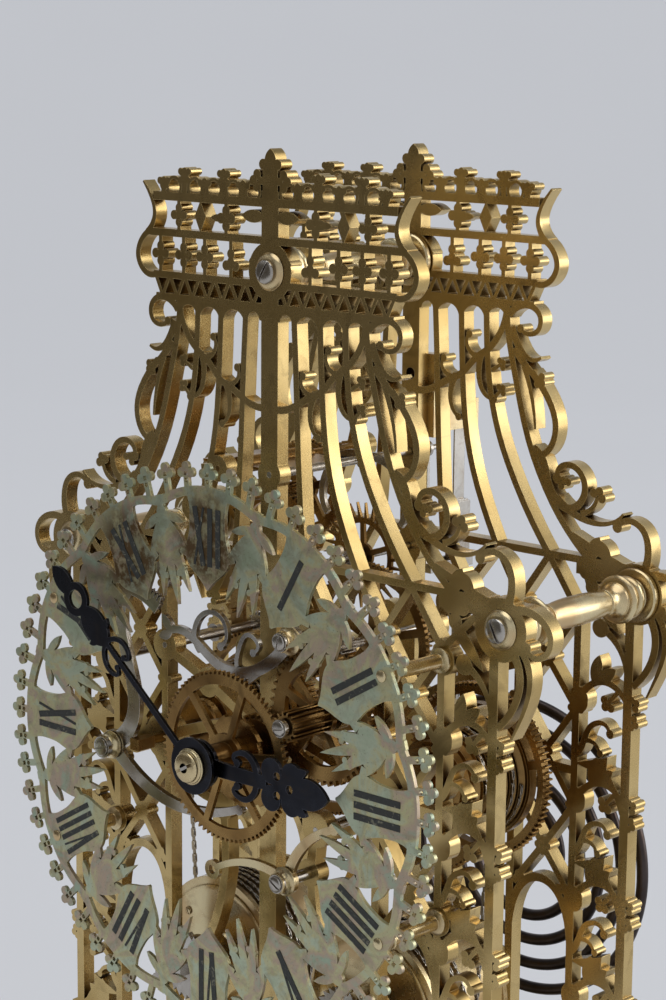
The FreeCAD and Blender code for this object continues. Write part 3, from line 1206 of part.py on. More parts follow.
def ready():
    """Recompute, then refuse any failed object or unsound shape."""
    doc.recompute()
    for item in doc.Objects:
        if "Invalid" in item.State or "Error" in item.State:
            raise RuntimeError("%s did not compute: %s" % (item.Label, item.State))
    for label, item in nodes.items():
        shape = item.Shape
        if shape.isNull() or not shape.isValid() or not shape.Solids:
            raise RuntimeError("%s has no sound solid" % label)


def export():
    """Write one STEP file for each sub-part."""
    os.makedirs("parts", exist_ok=True)
    for label, item in nodes.items():
        item.Shape.exportStep("parts/%s.step" % label)
    print(len(nodes), "sub-parts written")


base()
feet()
plates()
pillars()
fasteners()
dial()
hands()
motion_work()
going_train()
strike_train()
barrels()
chains()
escapement()
back_cock()
pendulum()
gong()
levers()
hammer()
ready()
export()
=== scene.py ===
"""Looks of a Gothic fretted skeleton clock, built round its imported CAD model.

Lengths in the model are metres; the builders below take millimetres in clock coordinates: x to the
right, y from the front plate's front face towards the back, z up from the upper corner pillars.
"""
import json
import math
import random

import bmesh
import bpy
from mathutils import Matrix, Vector

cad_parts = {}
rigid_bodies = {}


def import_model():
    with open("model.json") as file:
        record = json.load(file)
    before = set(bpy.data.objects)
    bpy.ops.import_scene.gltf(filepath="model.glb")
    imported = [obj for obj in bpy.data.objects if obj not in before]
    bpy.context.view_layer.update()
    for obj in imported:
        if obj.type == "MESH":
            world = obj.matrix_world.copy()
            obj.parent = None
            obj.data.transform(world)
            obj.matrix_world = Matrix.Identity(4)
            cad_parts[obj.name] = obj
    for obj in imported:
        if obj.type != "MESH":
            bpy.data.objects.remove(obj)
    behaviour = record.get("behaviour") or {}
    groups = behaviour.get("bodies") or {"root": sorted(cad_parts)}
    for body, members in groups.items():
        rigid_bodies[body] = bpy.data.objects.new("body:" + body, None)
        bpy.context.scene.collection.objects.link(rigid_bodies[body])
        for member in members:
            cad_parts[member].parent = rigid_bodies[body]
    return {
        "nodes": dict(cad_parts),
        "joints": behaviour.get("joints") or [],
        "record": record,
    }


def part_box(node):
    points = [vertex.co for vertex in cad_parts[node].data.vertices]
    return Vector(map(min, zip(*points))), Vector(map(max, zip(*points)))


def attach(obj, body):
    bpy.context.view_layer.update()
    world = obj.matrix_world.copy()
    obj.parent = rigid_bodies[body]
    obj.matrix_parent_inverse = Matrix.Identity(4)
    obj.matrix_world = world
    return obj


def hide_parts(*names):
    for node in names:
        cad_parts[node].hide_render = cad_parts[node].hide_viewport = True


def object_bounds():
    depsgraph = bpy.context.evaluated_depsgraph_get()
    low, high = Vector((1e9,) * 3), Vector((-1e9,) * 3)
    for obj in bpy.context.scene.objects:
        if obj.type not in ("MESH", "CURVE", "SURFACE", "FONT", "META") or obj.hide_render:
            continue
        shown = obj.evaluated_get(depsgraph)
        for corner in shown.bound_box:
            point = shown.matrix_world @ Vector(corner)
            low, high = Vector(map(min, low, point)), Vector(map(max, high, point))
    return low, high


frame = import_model()
cad_low, cad_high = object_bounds()
nodes = frame["nodes"]
MM = 0.001
dice = random.Random(7)

# ---------------------------------------------------------------- where the clock's planes and axes are

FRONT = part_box("front_plate")[0].y / MM
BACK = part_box("back_plate")[1].y / MM - FRONT
PLATE = (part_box("front_plate")[1].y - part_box("front_plate")[0].y) / MM
GAP = BACK - 2 * PLATE
LEVEL = (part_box("upper_pillars")[0].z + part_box("upper_pillars")[1].z) / 2 / MM
HINGES = {joint["child"]: joint["pos_m"] for joint in frame["joints"]}
UPPER = [(88, 0), (-88, 0)]
LOWER = [(77, -231), (-77, -231)]
TOP = [(0, 91)]
FOOT_LEVEL = -250
COCK_SCREW = (0, 56)
DIAL_POSTS = [(-67.5, -12), (-67.5, -88), (67.5, -12), (67.5, -88)]
HANDS = (0, -50)
BOB = (0, -203)
PENDULUM_DEPTH = 86
RATING_NUT_LEVEL = -226


def world_point(x, y, z):
    """A place in the model from millimetres in clock coordinates."""
    return Vector((x, y + FRONT, z + LEVEL)) * MM


def arbor_at(body):
    """x and z of a body's arbor in clock coordinates."""
    place = HINGES[body]
    return place[0] / MM, place[2] / MM - LEVEL


# ---------------------------------------------------------------- materials


class Shader:
    """A material's node tree with short ways to add and join nodes."""

    def __init__(self, name):
        self.material = bpy.data.materials.new(name)
        self.material.use_nodes = True
        self.nodes = self.material.node_tree.nodes
        self.links = self.material.node_tree.links
        self.surface = self.nodes["Principled BSDF"]

    def add(self, kind, **settings):
        node = self.nodes.new("ShaderNode" + kind)
        for key, value in settings.items():
            setattr(node, key, value)
        return node

    def join(self, source, target):
        self.links.new(source, target)

    def place(self, stretch=(1, 1, 1)):
        """Object coordinates in millimetres, stretched along each axis."""
        coordinates = self.add("TexCoord")
        mapping = self.add("Mapping")
        mapping.inputs["Scale"].default_value = [share / MM for share in stretch]
        self.join(coordinates.outputs["Object"], mapping.inputs["Vector"])
        return mapping.outputs["Vector"]

    def noise(self, scale, detail=4.0, roughness=0.55, stretch=(1, 1, 1), distortion=0.0):
        """Noise whose scale is in features per millimetre."""
        node = self.add("TexNoise")
        node.inputs["Scale"].default_value = scale
        node.inputs["Detail"].default_value = detail
        node.inputs["Roughness"].default_value = roughness
        node.inputs["Distortion"].default_value = distortion
        self.join(self.place(stretch), node.inputs["Vector"])
        return node.outputs["Fac"]

    def ramp(self, source, stops):
        """Colours along a value; stops are (position, colour)."""
        node = self.add("ValToRGB")
        elements = node.color_ramp.elements
        while len(elements) < len(stops):
            elements.new(0.5)
        for element, (position, colour) in zip(elements, stops):
            element.position = position
            element.color = tuple(colour) + (1,)
        self.join(source, node.inputs["Fac"])
        return node.outputs["Color"]

    def spread(self, source, low, high, start=0.3, end=0.7):
        """A value moved to the range from low to high."""
        node = self.add("MapRange")
        node.inputs["From Min"].default_value = start
        node.inputs["From Max"].default_value = end
        node.inputs["To Min"].default_value = low
        node.inputs["To Max"].default_value = high
        self.join(source, node.inputs["Value"])
        return node.outputs["Result"]

    def mixed(self, share, first, second):
        """Two colours mixed; each is a socket or a colour."""
        node = self.add("Mix", data_type="RGBA")
        self.join(share, node.inputs["Factor"])
        for value, socket in ((first, node.inputs[6]), (second, node.inputs[7])):
            if isinstance(value, tuple):
                socket.default_value = value + (1,)
            else:
                self.join(value, socket)
        return node.outputs[2]

    def sum_of(self, first, second, share):
        """first + second * share."""
        node = self.add("Math", operation="MULTIPLY_ADD")
        self.join(second, node.inputs[0])
        node.inputs[1].default_value = share
        self.join(first, node.inputs[2])
        return node.outputs["Value"]

    def product(self, first, second):
        """Two values multiplied."""
        node = self.add("Math", operation="MULTIPLY")
        self.join(first, node.inputs[0])
        self.join(second, node.inputs[1])
        return node.outputs["Value"]

    def nearness(self, place, inner, outer):
        """1 within inner millimetres of a place in the model, 0 beyond outer."""
        node = self.add("VectorMath", operation="DISTANCE")
        self.join(self.place(), node.inputs[0])
        node.inputs[1].default_value = [value / MM for value in place]
        return self.spread(node.outputs["Value"], 1, 0, inner, outer)

    def worn_edges(self, reach):
        """Near 1 on edges, where handling and polishing keep the metal bright."""
        rounded = self.add("Bevel", samples=4)
        rounded.inputs["Radius"].default_value = reach * MM
        geometry = self.add("NewGeometry")
        node = self.add("VectorMath", operation="DOT_PRODUCT")
        self.join(rounded.outputs["Normal"], node.inputs[0])
        self.join(geometry.outputs["Normal"], node.inputs[1])
        return self.spread(node.outputs["Value"], 1, 0, 0.86, 0.99)

    def corner_shade_mask(self, reach):
        """Near 1 in corners and recesses where ambient occlusion is high, and 0 in the open: the mask of a
        painted shade.
        """
        node = self.add("AmbientOcclusion", samples=4)
        node.inputs["Distance"].default_value = reach * MM
        return self.spread(node.outputs["AO"], 1, 0, 0.3, 0.85)

    def bumped(self, height, depth, strength=0.5, edge=0.0):
        """Relief of the given depth in millimetres, over edges eased by a small radius."""
        node = self.add("Bump")
        node.inputs["Strength"].default_value = strength
        node.inputs["Distance"].default_value = depth * MM
        self.join(height, node.inputs["Height"])
        if edge:
            rounded = self.add("Bevel", samples=4)
            rounded.inputs["Radius"].default_value = edge * MM
            self.join(rounded.outputs["Normal"], node.inputs["Normal"])
        self.join(node.outputs["Normal"], self.surface.inputs["Normal"])


def metal(name, clean, tarnish, dirt_and_shade, rough, grain=(1, 1, 1), relief=0.012, patch=0.06, spots=0.35,
          corner_shade_share=0.6, edge=0.18, bright=1.35):
    """Metal with slow patches of tarnish, stains, painted shade in its corners, worn edges and fine grain.
    """
    shade = Shader(name)
    patches = shade.noise(patch, 3, 0.5, distortion=0.6)
    base = shade.ramp(patches, [(0.38, clean), (0.66, tarnish)])
    stains = shade.spread(shade.noise(0.12, 4, 0.55, distortion=1.0), 0, spots, 0.54, 0.76)
    stained = shade.mixed(stains, base, dirt_and_shade)
    freckles = shade.spread(shade.noise(1.1, 3, 0.6), 0, spots, 0.70, 0.76)
    freckled = shade.mixed(freckles, stained, dirt_and_shade)
    polished = tuple(min(1, value * bright) for value in clean)
    edges = shade.worn_edges(0.35)
    worn = shade.mixed(shade.spread(edges, 0, 0.7, 0, 1), freckled, polished)
    # Painted shade: corners where ambient occlusion is high are darkened towards the dark stain colour.
    corner = shade.spread(shade.corner_shade_mask(4.5), 0, corner_shade_share, 0, 1)
    shade.join(shade.mixed(corner, worn, dirt_and_shade), shade.surface.inputs["Base Color"])
    shade.surface.inputs["Metallic"].default_value = 1
    streaks = shade.noise(2.6, 5, 0.65, grain)
    uneven = shade.sum_of(patches, streaks, 0.6)
    shade.join(shade.spread(shade.sum_of(uneven, stains, 0.4), rough[0], rough[1], 0.5, 1.2),
               shade.surface.inputs["Roughness"])
    shade.bumped(shade.sum_of(streaks, shade.noise(0.5, 3), 0.8), relief, edge=edge)
    return shade.material


BROWNED_SHIELDS = ((-33, 7.2), (0, 16))


def silvered_dial():
    """Old silvering: grey-green and yellow interference tarnish, two shields gone brown."""
    shade = Shader("silvered_dial")
    slow = shade.noise(0.045, 5, 0.6, distortion=1.6)
    hues = shade.ramp(slow, [(0.30, (0.46, 0.54, 0.38)), (0.42, (0.54, 0.60, 0.45)),
                             (0.50, (0.60, 0.57, 0.33)), (0.57, (0.56, 0.44, 0.34)),
                             (0.66, (0.44, 0.54, 0.41)), (0.76, (0.60, 0.62, 0.52))])
    cloud = shade.spread(shade.noise(0.16, 6, 0.7, distortion=1.0), 0, 0.7, 0.48, 0.7)
    clouded = shade.mixed(cloud, hues, (0.34, 0.33, 0.22))
    masks = [shade.nearness(world_point(x, -24, z), 9, 17) for x, z in BROWNED_SHIELDS]
    ragged = shade.spread(shade.noise(0.3, 5, 0.65), 0.35, 1, 0.42, 0.56)
    browned = clouded
    for mask in masks:
        browned = shade.mixed(shade.product(mask, ragged), browned, (0.15, 0.095, 0.045))
    spots = shade.spread(shade.noise(1.3, 4, 0.7), 0, 0.8, 0.6, 0.7)
    spotted = shade.mixed(spots, browned, (0.12, 0.10, 0.06))
    edged = shade.mixed(shade.spread(shade.worn_edges(0.25), 0, 0.55, 0, 1), spotted, (0.72, 0.68, 0.50))
    # Painted shade: corners where ambient occlusion is high are darkened towards a dark brown.
    shade.join(shade.mixed(shade.spread(shade.corner_shade_mask(1.6), 0, 0.45, 0, 1), edged, (0.10, 0.08, 0.04)),
               shade.surface.inputs["Base Color"])
    shade.surface.inputs["Metallic"].default_value = 1
    fine = shade.noise(3.2, 5, 0.7)
    shade.join(shade.spread(shade.sum_of(slow, fine, 0.5), 0.36, 0.58, 0.5, 1.0),
               shade.surface.inputs["Roughness"])
    shade.bumped(shade.sum_of(fine, shade.noise(0.25, 3), 1.4), 0.03, edge=0.12)
    return shade.material


def filled_wax():
    """Black filling of the numerals, cracked and rubbed away in places."""
    shade = Shader("filled_wax")
    wear = shade.spread(shade.noise(0.55, 6, 0.7, distortion=0.7), 0, 1, 0.57, 0.64)
    shade.join(shade.mixed(wear, (0.028, 0.030, 0.026), (0.20, 0.19, 0.13)),
               shade.surface.inputs["Base Color"])
    shade.join(shade.spread(shade.noise(1.6, 5), 0.35, 0.7), shade.surface.inputs["Roughness"])
    shade.bumped(shade.noise(1.1, 6, 0.75), 0.08)
    return shade.material


def ebonised():
    """Black stained, French-polished wood: faint long grain under a glossy, slightly rubbed coat."""
    shade = Shader("ebonised")
    grain = shade.noise(0.9, 8, 0.7, (0.05, 1, 1), 0.4)
    pores = shade.spread(shade.noise(2.2, 3, 0.6, (0.04, 1, 1)), 0, 1, 0.56, 0.66)
    tone = shade.ramp(grain, [(0.3, (0.012, 0.009, 0.008)), (0.7, (0.040, 0.024, 0.016))])
    shade.join(shade.mixed(pores, tone, (0.006, 0.005, 0.005)), shade.surface.inputs["Base Color"])
    haze = shade.noise(0.03, 5, 0.6, distortion=0.5)
    shade.join(shade.spread(shade.sum_of(haze, pores, 0.3), 0.14, 0.34, 0.4, 0.9),
               shade.surface.inputs["Roughness"])
    shade.surface.inputs["Coat Weight"].default_value = 0.5
    shade.surface.inputs["Coat Roughness"].default_value = 0.12
    shade.bumped(shade.sum_of(grain, pores, -0.6), 0.03, edge=0.4)
    return shade.material


def make_materials():
    """One material for each slot of the record."""
    # In each metal below, the third colour is its stains and also the painted shade in its corners.
    return {
        "brass_frame": metal("frame_brass", (0.66, 0.495, 0.225), (0.48, 0.335, 0.125),
                             (0.10, 0.060, 0.022), (0.22, 0.34), (1, 1, 1), 0.006, 0.026, 0.42, 0.85),
        "brass_bright": metal("bright_brass", (0.74, 0.63, 0.38), (0.62, 0.45, 0.24), (0.20, 0.12, 0.05),
                              (0.22, 0.34), (0.3, 3, 0.3), 0.005, 0.07, 0.4, 0.7),
        "brass_wheels": metal("wheel_brass", (0.38, 0.235, 0.085), (0.24, 0.135, 0.045),
                              (0.05, 0.028, 0.012), (0.22, 0.36), (1, 1, 1), 0.008, 0.06, 0.55, 0.85),
        "silvered": silvered_dial(),
        "dark_wax": filled_wax(),
        "blued_steel": metal("blued_steel", (0.030, 0.032, 0.040), (0.018, 0.018, 0.022),
                             (0.05, 0.035, 0.025), (0.22, 0.40), (1, 1, 1), 0.01, 0.08, 0.3, 0.2, 0.14, 4),
        "polished_steel": metal("bright_steel", (0.56, 0.54, 0.50), (0.40, 0.36, 0.31),
                                (0.12, 0.08, 0.05), (0.15, 0.32), (1, 0.4, 1), 0.008, 0.07, 0.4, 0.6),
        "dark_steel": metal("browned_steel", (0.075, 0.060, 0.055), (0.042, 0.034, 0.032),
                            (0.09, 0.045, 0.022), (0.26, 0.46), (1, 1, 1), 0.014, 0.1, 0.4, 0.3, 0.14, 2),
        "ebonised_wood": ebonised(),
    }


materials = make_materials()
for part in frame["record"]["subparts"]:
    node = nodes[part["node"]]
    node.data.materials.clear()
    node.data.materials.append(materials[part["material_slot"]])


# ---------------------------------------------------------------- mesh builders


def finish_mesh(name, mesh, body, slot, stands_for=(), sharp=32):
    """Make a piece from a bmesh given in millimetres of clock coordinates."""
    bmesh.ops.recalc_face_normals(mesh, faces=mesh.faces)
    data = bpy.data.meshes.new(name)
    mesh.to_mesh(data)
    mesh.free()
    data.transform(Matrix.Translation(world_point(0, 0, 0)) @ Matrix.Scale(MM, 4))
    for face in data.polygons:
        face.use_smooth = True
    data.set_sharp_from_angle(angle=math.radians(sharp))
    data.materials.append(materials[slot])
    piece = bpy.data.objects.new(name, data)
    bpy.context.scene.collection.objects.link(piece)
    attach(piece, body)
    if stands_for:
        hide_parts(*stands_for)


def bead(radius, swell, start, length, steps=7):
    """A round bead on a turned profile, from start over its length."""
    turns = [math.pi * step / steps for step in range(steps + 1)]
    return [(radius + swell * math.sin(turn), start + length * (1 - math.cos(turn)) / 2) for turn in turns]


def curve_between(first, last, bulge, steps=6):
    """A hollow (bulge below 0) or a swell between two points of a turned profile."""
    points = []
    for step in range(1, steps):
        share = step / steps
        points.append((first[0] + (last[0] - first[0]) * share + bulge * math.sin(math.pi * share),
                       first[1] + (last[1] - first[1]) * share))
    return [first] + points + [last]


def turn(mesh, profile, x, y, z, way="back", segments=40):
    """Revolve a profile of (radius, distance) about an axis through x, y, z along y or z."""
    rings = []
    for radius, along in profile:
        ring = []
        for step in range(segments):
            angle = 2 * math.pi * step / segments
            across = radius * math.cos(angle)
            other = radius * math.sin(angle)
            if way == "back":
                ring.append(mesh.verts.new((x + across, y + along, z + other)))
            elif way == "front":
                ring.append(mesh.verts.new((x + across, y - along, z - other)))
            else:
                ring.append(mesh.verts.new((x + across, y - other, z + along)))
        rings.append(ring)
    for low, high in zip(rings, rings[1:]):
        for step in range(segments):
            after = (step + 1) % segments
            mesh.faces.new((low[step], low[after], high[after], high[step]))
    mesh.faces.new(rings[0][::-1])
    mesh.faces.new(rings[-1])


def prism(mesh, outline, y, thickness):
    """A flat piece with a closed outline of (x, z) points, from depth y backwards."""
    front = [mesh.verts.new((x, y, z)) for x, z in outline]
    rear = [mesh.verts.new((x, y + thickness, z)) for x, z in outline]
    mesh.faces.new(front)
    mesh.faces.new(rear[::-1])
    for step in range(len(outline)):
        after = (step + 1) % len(outline)
        mesh.faces.new((front[after], front[step], rear[step], rear[after]))


def slotted_head(mesh, radius, dome, slot_width, x, y, z, away, angle):
    """A domed screw head with a straight driver slot; away is 1 towards the back, -1 the front."""
    way = "back" if away > 0 else "front"
    floor = dome * 0.45
    profile = [(radius * 0.96, 0), (radius, 0.12), (radius, floor)]
    turn(mesh, profile, x, y, z, way, 36)
    segments = 16
    crown = math.radians(62)
    half = slot_width / 2
    start = math.asin(half / radius)
    for side in (0, math.pi):
        rows = []
        for level in range(5):
            lift = level / 4
            reach = radius * math.cos(crown * lift)
            height = floor + (dome - floor) * math.sin(crown * lift) / math.sin(crown)
            inner = math.asin(min(0.95, half / reach))
            row = []
            for step in range(segments + 1):
                at = inner + (math.pi - 2 * inner) * step / segments + side + angle
                row.append(mesh.verts.new((x + reach * math.cos(at), y + away * height,
                                           z + reach * math.sin(at))))
            rows.append(row)
        base = []
        for step in range(segments + 1):
            at = start + (math.pi - 2 * start) * step / segments + side + angle
            base.append(mesh.verts.new((x + radius * math.cos(at), y + away * floor * 0.9,
                                        z + radius * math.sin(at))))
        rows.insert(0, base)
        for low, high in zip(rows, rows[1:]):
            for step in range(segments):
                mesh.faces.new((low[step], low[step + 1], high[step + 1], high[step]))
        mesh.faces.new(rows[-1])
        mesh.faces.new([row[0] for row in rows] + [row[-1] for row in reversed(rows)])


def mirror_profile(half, length):
    """A profile that is the same from both ends."""
    return half + [(radius, length - along) for radius, along in reversed(half)]


# ---------------------------------------------------------------- frame furniture


def turned_pillars():
    """Baluster pillars: moulded collars at both plates and a slender swelling barrel."""
    half = [(5.6, 0.01), (7.7, 0.01), (8, 0.35), (8, 1.7), (7.6, 2.2), (5.2, 2.5)]
    half += [(4.7, 3.1)] + bead(4.8, 1.5, 3.5, 3.1) + [(4.5, 6.9), (4.5, 7.5)]
    half += bead(5.2, 1.9, 7.9, 2.6) + [(5.0, 10.9)]
    half += curve_between((5.0, 11), (3.5, 15), -0.5) + [(3.9, 15.2), (3.9, 15.9), (3.5, 16.1)]
    half += curve_between((3.5, 16.2), (4.35, 28.6), 0.25)
    for name, places in (("pillar_top", TOP), ("upper_pillars", UPPER), ("lower_pillars", LOWER)):
        mesh = bmesh.new()
        for x, z in places:
            turn(mesh, mirror_profile(half, GAP), x, PLATE, z, segments=56)
        finish_mesh("turned_" + name, mesh, "frame", "brass_bright", [name])


def washers_and_screws():
    """Domed brass washers under slotted domed steel screws, at both ends of every pillar."""
    washers = bmesh.new()
    screws = bmesh.new()
    rise = curve_between((5.3, 0.5), (3.9, 1.6), 0.25)
    for x, z in TOP + UPPER + LOWER:
        for y, away in ((0, -1), (BACK, 1)):
            way = "back" if away > 0 else "front"
            turn(washers, [(1.9, 0.02), (5.3, 0.02), (5.6, 0.2)] + rise + [(1.9, 1.6)], x, y, z, way)
            slotted_head(screws, 3.5, 1.5, 0.8, x, y + 1.6 * away, z, away, dice.uniform(0, math.pi))
    x, z = COCK_SCREW
    turn(screws, [(1.8, 0), (1.8, 4)], x, BACK - 0.4, z)
    slotted_head(screws, 3.2, 1.6, 0.8, x, BACK + 3.6, z, 1, 0.6)
    finish_mesh("domed_washers", washers, "frame", "brass_bright", ["frame_washers"])
    finish_mesh("slotted_screws", screws, "frame", "polished_steel", ["frame_screws"])


def turned_feet():
    """Bun feet with a neck, between the plates' lower corners and the plinth."""
    mesh = bmesh.new()
    profile = [(5.4, 0)] + bead(6.2, 1.7, 0.1, 3.6) + [(4.4, 4)]
    profile += curve_between((4.2, 4.2), (3.6, 7.4), -0.5)
    profile += bead(3.8, 1.1, 7.5, 1.7) + [(4.7, 9.4), (4.7, 9.98)]
    for x, _ in reversed(LOWER):
        for y in (PLATE / 2, BACK - PLATE / 2):
            turn(mesh, profile, x, y, FOOT_LEVEL, "up")
    finish_mesh("turned_feet", mesh, "frame", "brass_bright", ["frame_feet"])


def dial_furniture():
    """Turned dial posts with collars and the small domed pins that hold the dial on them."""
    mesh = bmesh.new()
    profile = [(3.7, 0.02), (3.7, 1.4), (3.1, 1.9), (2.2, 2.2)]
    profile += curve_between((2.1, 2.4), (2.1, 20), 0.05)
    profile += bead(2.1, 1.1, 20.2, 1.7) + [(2.4, 22.2), (2.9, 22.8), (2.9, 23.97)]
    pin = [(1.7, 25.22), (1.7, 25.4), (1.2, 25.75), (0.4, 25.85)]
    for x, z in DIAL_POSTS:
        turn(mesh, profile, x, 0, z, "front", 32)
        turn(mesh, pin, x, 0, z, "front", 24)
    finish_mesh("turned_dial_posts", mesh, "frame", "brass_bright", ["dial_posts"])


def hand_fittings():
    """Domed brass nut with a driver slot that holds the hands."""
    nut = bmesh.new()
    x, z = HANDS
    profile = [(5.0, 31.65), (5.4, 31.8), (5.4, 32.3), (5.1, 32.5)]
    turn(nut, profile + curve_between((5.1, 32.6), (4.4, 33.2), 0.2), x, 0, z, "front", 48)
    slotted_head(nut, 4.5, 1.7, 0.9, x, -33.1, z, -1, 0.5)
    finish_mesh("slotted_hand_nut", nut, "centre", "brass_bright", ["hand_nut"])


def rounded_rectangle(half_x, half_y, radius, steps=6):
    """Points round a rectangle with rounded corners."""
    points = []
    for corner, (sign_x, sign_y) in enumerate(((1, 1), (-1, 1), (-1, -1), (1, -1))):
        for step in range(steps + 1):
            angle = math.radians(90 * (corner + step / steps))
            points.append((sign_x * (half_x - radius) + radius * math.cos(angle),
                           sign_y * (half_y - radius) + radius * math.sin(angle)))
    return points


def moulded_plinth():
    """Ebonised plinth with a moulded edge: a torus foot, a hollow and a small upper bead."""
    low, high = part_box("base_plinth")
    half_x = (high.x - low.x) / 2 / MM
    half_y = (high.y - low.y) / 2 / MM
    middle_y = -FRONT
    steps = [(0.6, 0), (0, 0.6), (0, 9), (0.1, 9.8), (0.5, 10.6), (1.2, 11.2), (2.4, 11.4)]
    for step in range(1, 9):
        angle = math.radians(90 * step / 8)
        steps.append((2.6 + 7 * math.sin(angle), 11.6 + 8.4 * (1 - math.cos(angle))))
    steps += [(9.7, 21), (8.6, 21.2)]
    steps += [(8.6 - 1.9 * math.sin(math.pi * step / 8), 21.2 + 5.4 * step / 8) for step in range(1, 9)]
    steps += [(9.2, 26.9), (10.4, 27.3), (11, 28)]
    mesh = bmesh.new()
    rings = []
    for inset, rise in steps:
        outline = rounded_rectangle(half_x - inset, half_y - inset, 7)
        rings.append([mesh.verts.new((x, y + middle_y, rise - LEVEL)) for x, y in outline])
    for lower, upper in zip(rings, rings[1:]):
        for step in range(len(lower)):
            after = (step + 1) % len(lower)
            mesh.faces.new((lower[step], lower[after], upper[after], upper[step]))
    mesh.faces.new(rings[0][::-1])
    mesh.faces.new(rings[-1])
    finish_mesh("moulded_plinth", mesh, "frame", "ebonised_wood", ["base_plinth"], 28)


# ---------------------------------------------------------------- trains, chains, pendulum, gong


def collets():
    """A stepped turned collet riveted beside every wheel of the trains."""
    for body, y, reach in (("third", 34, 3.4), ("intermediate", 52, 3.6), ("escape", 42, 2.6),
                           ("gathering", 45.6, 3.2), ("pin", 52.2, 3.4), ("warning", 51.6, 2.6),
                           ("centre", 26, 4.2)):
        x, z = arbor_at(body)
        mesh = bmesh.new()
        turn(mesh, [(reach, 0), (reach, 0.8), (reach * 0.86, 1), (reach * 0.78, 1.8), (reach * 0.6, 2),
                    (reach * 0.58, 3)], x, y, z, segments=32)
        finish_mesh("collet_" + body, mesh, body, "brass_bright")


def barrel_caps():
    """Turned caps with a raised rim, a hub and six small screws on both ends of each barrel."""
    profile = [(22.6, 0.02), (22.6, 0.5), (21.6, 0.7), (20.8, 0.4), (8.4, 0.4), (7.8, 1.1), (6.4, 1.4),
               (3.3, 1.4)]
    screw_circle = 17.6
    for body in ("barrel_going", "barrel_strike"):
        x, z = arbor_at(body)
        mesh = bmesh.new()
        for y, way, away in ((12, "front", -1), (44, "back", 1)):
            turn(mesh, profile, x, y, z, way, 72)
            for number in range(6):
                angle = math.radians(60 * number + 20)
                slotted_head(mesh, 1.3, 0.7, 0.35, x + screw_circle * math.cos(angle), y + 0.4 * away,
                             z + screw_circle * math.sin(angle), away, number)
        finish_mesh("caps_" + body, mesh, body, "brass_bright")


def link(mesh, x, y, z, angle, length, height, thickness):
    """One flat chain link with round ends."""
    outline = []
    for end in (0, 1):
        for step in range(5):
            at = math.radians(-90 + 180 * end + 45 * step)
            along = (length / 2 - height / 2) * (1 - 2 * end) + height / 2 * math.cos(at)
            across = height / 2 * math.sin(at)
            outline.append((x + along * math.cos(angle) - across * math.sin(angle),
                            z + along * math.sin(angle) + across * math.cos(angle)))
    prism(mesh, outline, y, thickness)


PITCH = 2.1
LINK = (3.3, 1.2, 0.34)


def links_along(mesh, places):
    """Riveted links at (x, y, z, angle), single and paired in turn."""
    for number, (x, y, z, angle) in enumerate(places):
        if number % 2:
            link(mesh, x, y - 0.17, z, angle, *LINK)
        else:
            link(mesh, x, y - 0.56, z, angle, *LINK)
            link(mesh, x, y + 0.22, z, angle, *LINK)


def wound(x, z, y_start, y_step, radius_of, turns):
    """Places of links wound round an arbor."""
    places = []
    angle = 0.0
    while angle < 2 * math.pi * turns:
        share = angle / (2 * math.pi)
        radius = radius_of(share)
        places.append((x + radius * math.cos(angle), y_start + y_step * share,
                       z + radius * math.sin(angle), angle + math.pi / 2))
        angle += PITCH / radius
    return places


def fusee_chains():
    """Steel fusee chains: the straight runs, and the turns on barrels and fusees."""
    mesh = bmesh.new()
    for sign in (1, -1):
        top = Vector((63.6 * sign, -59))
        low = Vector((59.2 * sign, -128))
        way = low - top
        angle = math.atan2(way.y, way.x)
        steps = int(way.length / PITCH)
        links_along(mesh, [(top.x + way.x * n / steps, 27.6, top.y + way.y * n / steps, angle)
                           for n in range(steps + 1)])
    finish_mesh("chain_runs", mesh, "frame", "polished_steel", ["fusee_chains"])
    for side in ("going", "strike"):
        x, z = arbor_at("barrel_" + side)
        mesh = bmesh.new()
        links_along(mesh, wound(x, z, 15.2, 2.6, lambda share: 24.55, 5))
        finish_mesh("chain_on_barrel_" + side, mesh, "barrel_" + side, "polished_steel")
        x, z = arbor_at("great_" + side)
        mesh = bmesh.new()
        step = 26 / 9
        links_along(mesh, wound(x, z, 15.4 + step * 4.5, step,
                                lambda share: 9 + 10 * ((share + 4) / 8) ** 0.7 - 0.35, 4))
        finish_mesh("chain_on_fusee_" + side, mesh, "great_" + side, "polished_steel")


def turned_bob():
    """Lens-shaped brass bob with a fine edge bead, and a knurled rating nut."""
    mesh = bmesh.new()
    bulge = 4.45
    face = [(0.8, -bulge)]
    for step in range(1, 12):
        angle = math.radians(90 * step / 12)
        face.append((19.2 * math.sin(angle), -bulge * math.cos(angle) - 0.35))
    rim = [(19.5, -0.6), (19.95, -0.3), (19.95, 0.3), (19.5, 0.6)]
    profile = face + rim + [(radius, -along) for radius, along in reversed(face)]
    turn(mesh, profile, BOB[0], PENDULUM_DEPTH, BOB[1], segments=72)
    finish_mesh("lens_bob", mesh, "pendulum", "brass_bright", ["pendulum_bob"])
    mesh = bmesh.new()
    rings = []
    for radius, rise in ((3.5, 0), (4, 0.3), (4, 2.3), (3.5, 2.6)):
        ring = []
        for step in range(72):
            angle = 2 * math.pi * step / 72
            ripple = radius - 0.22 * (step % 2) * (radius > 3.6)
            ring.append(mesh.verts.new((ripple * math.cos(angle), PENDULUM_DEPTH + ripple * math.sin(angle),
                                        RATING_NUT_LEVEL + rise)))
        rings.append(ring)
    for lower, upper in zip(rings, rings[1:]):
        for step in range(72):
            after = (step + 1) % 72
            mesh.faces.new((lower[step], lower[after], upper[after], upper[step]))
    mesh.faces.new(rings[0][::-1])
    mesh.faces.new(rings[-1])
    finish_mesh("knurled_nut", mesh, "pendulum", "brass_bright", ["rating_nut"], 60)


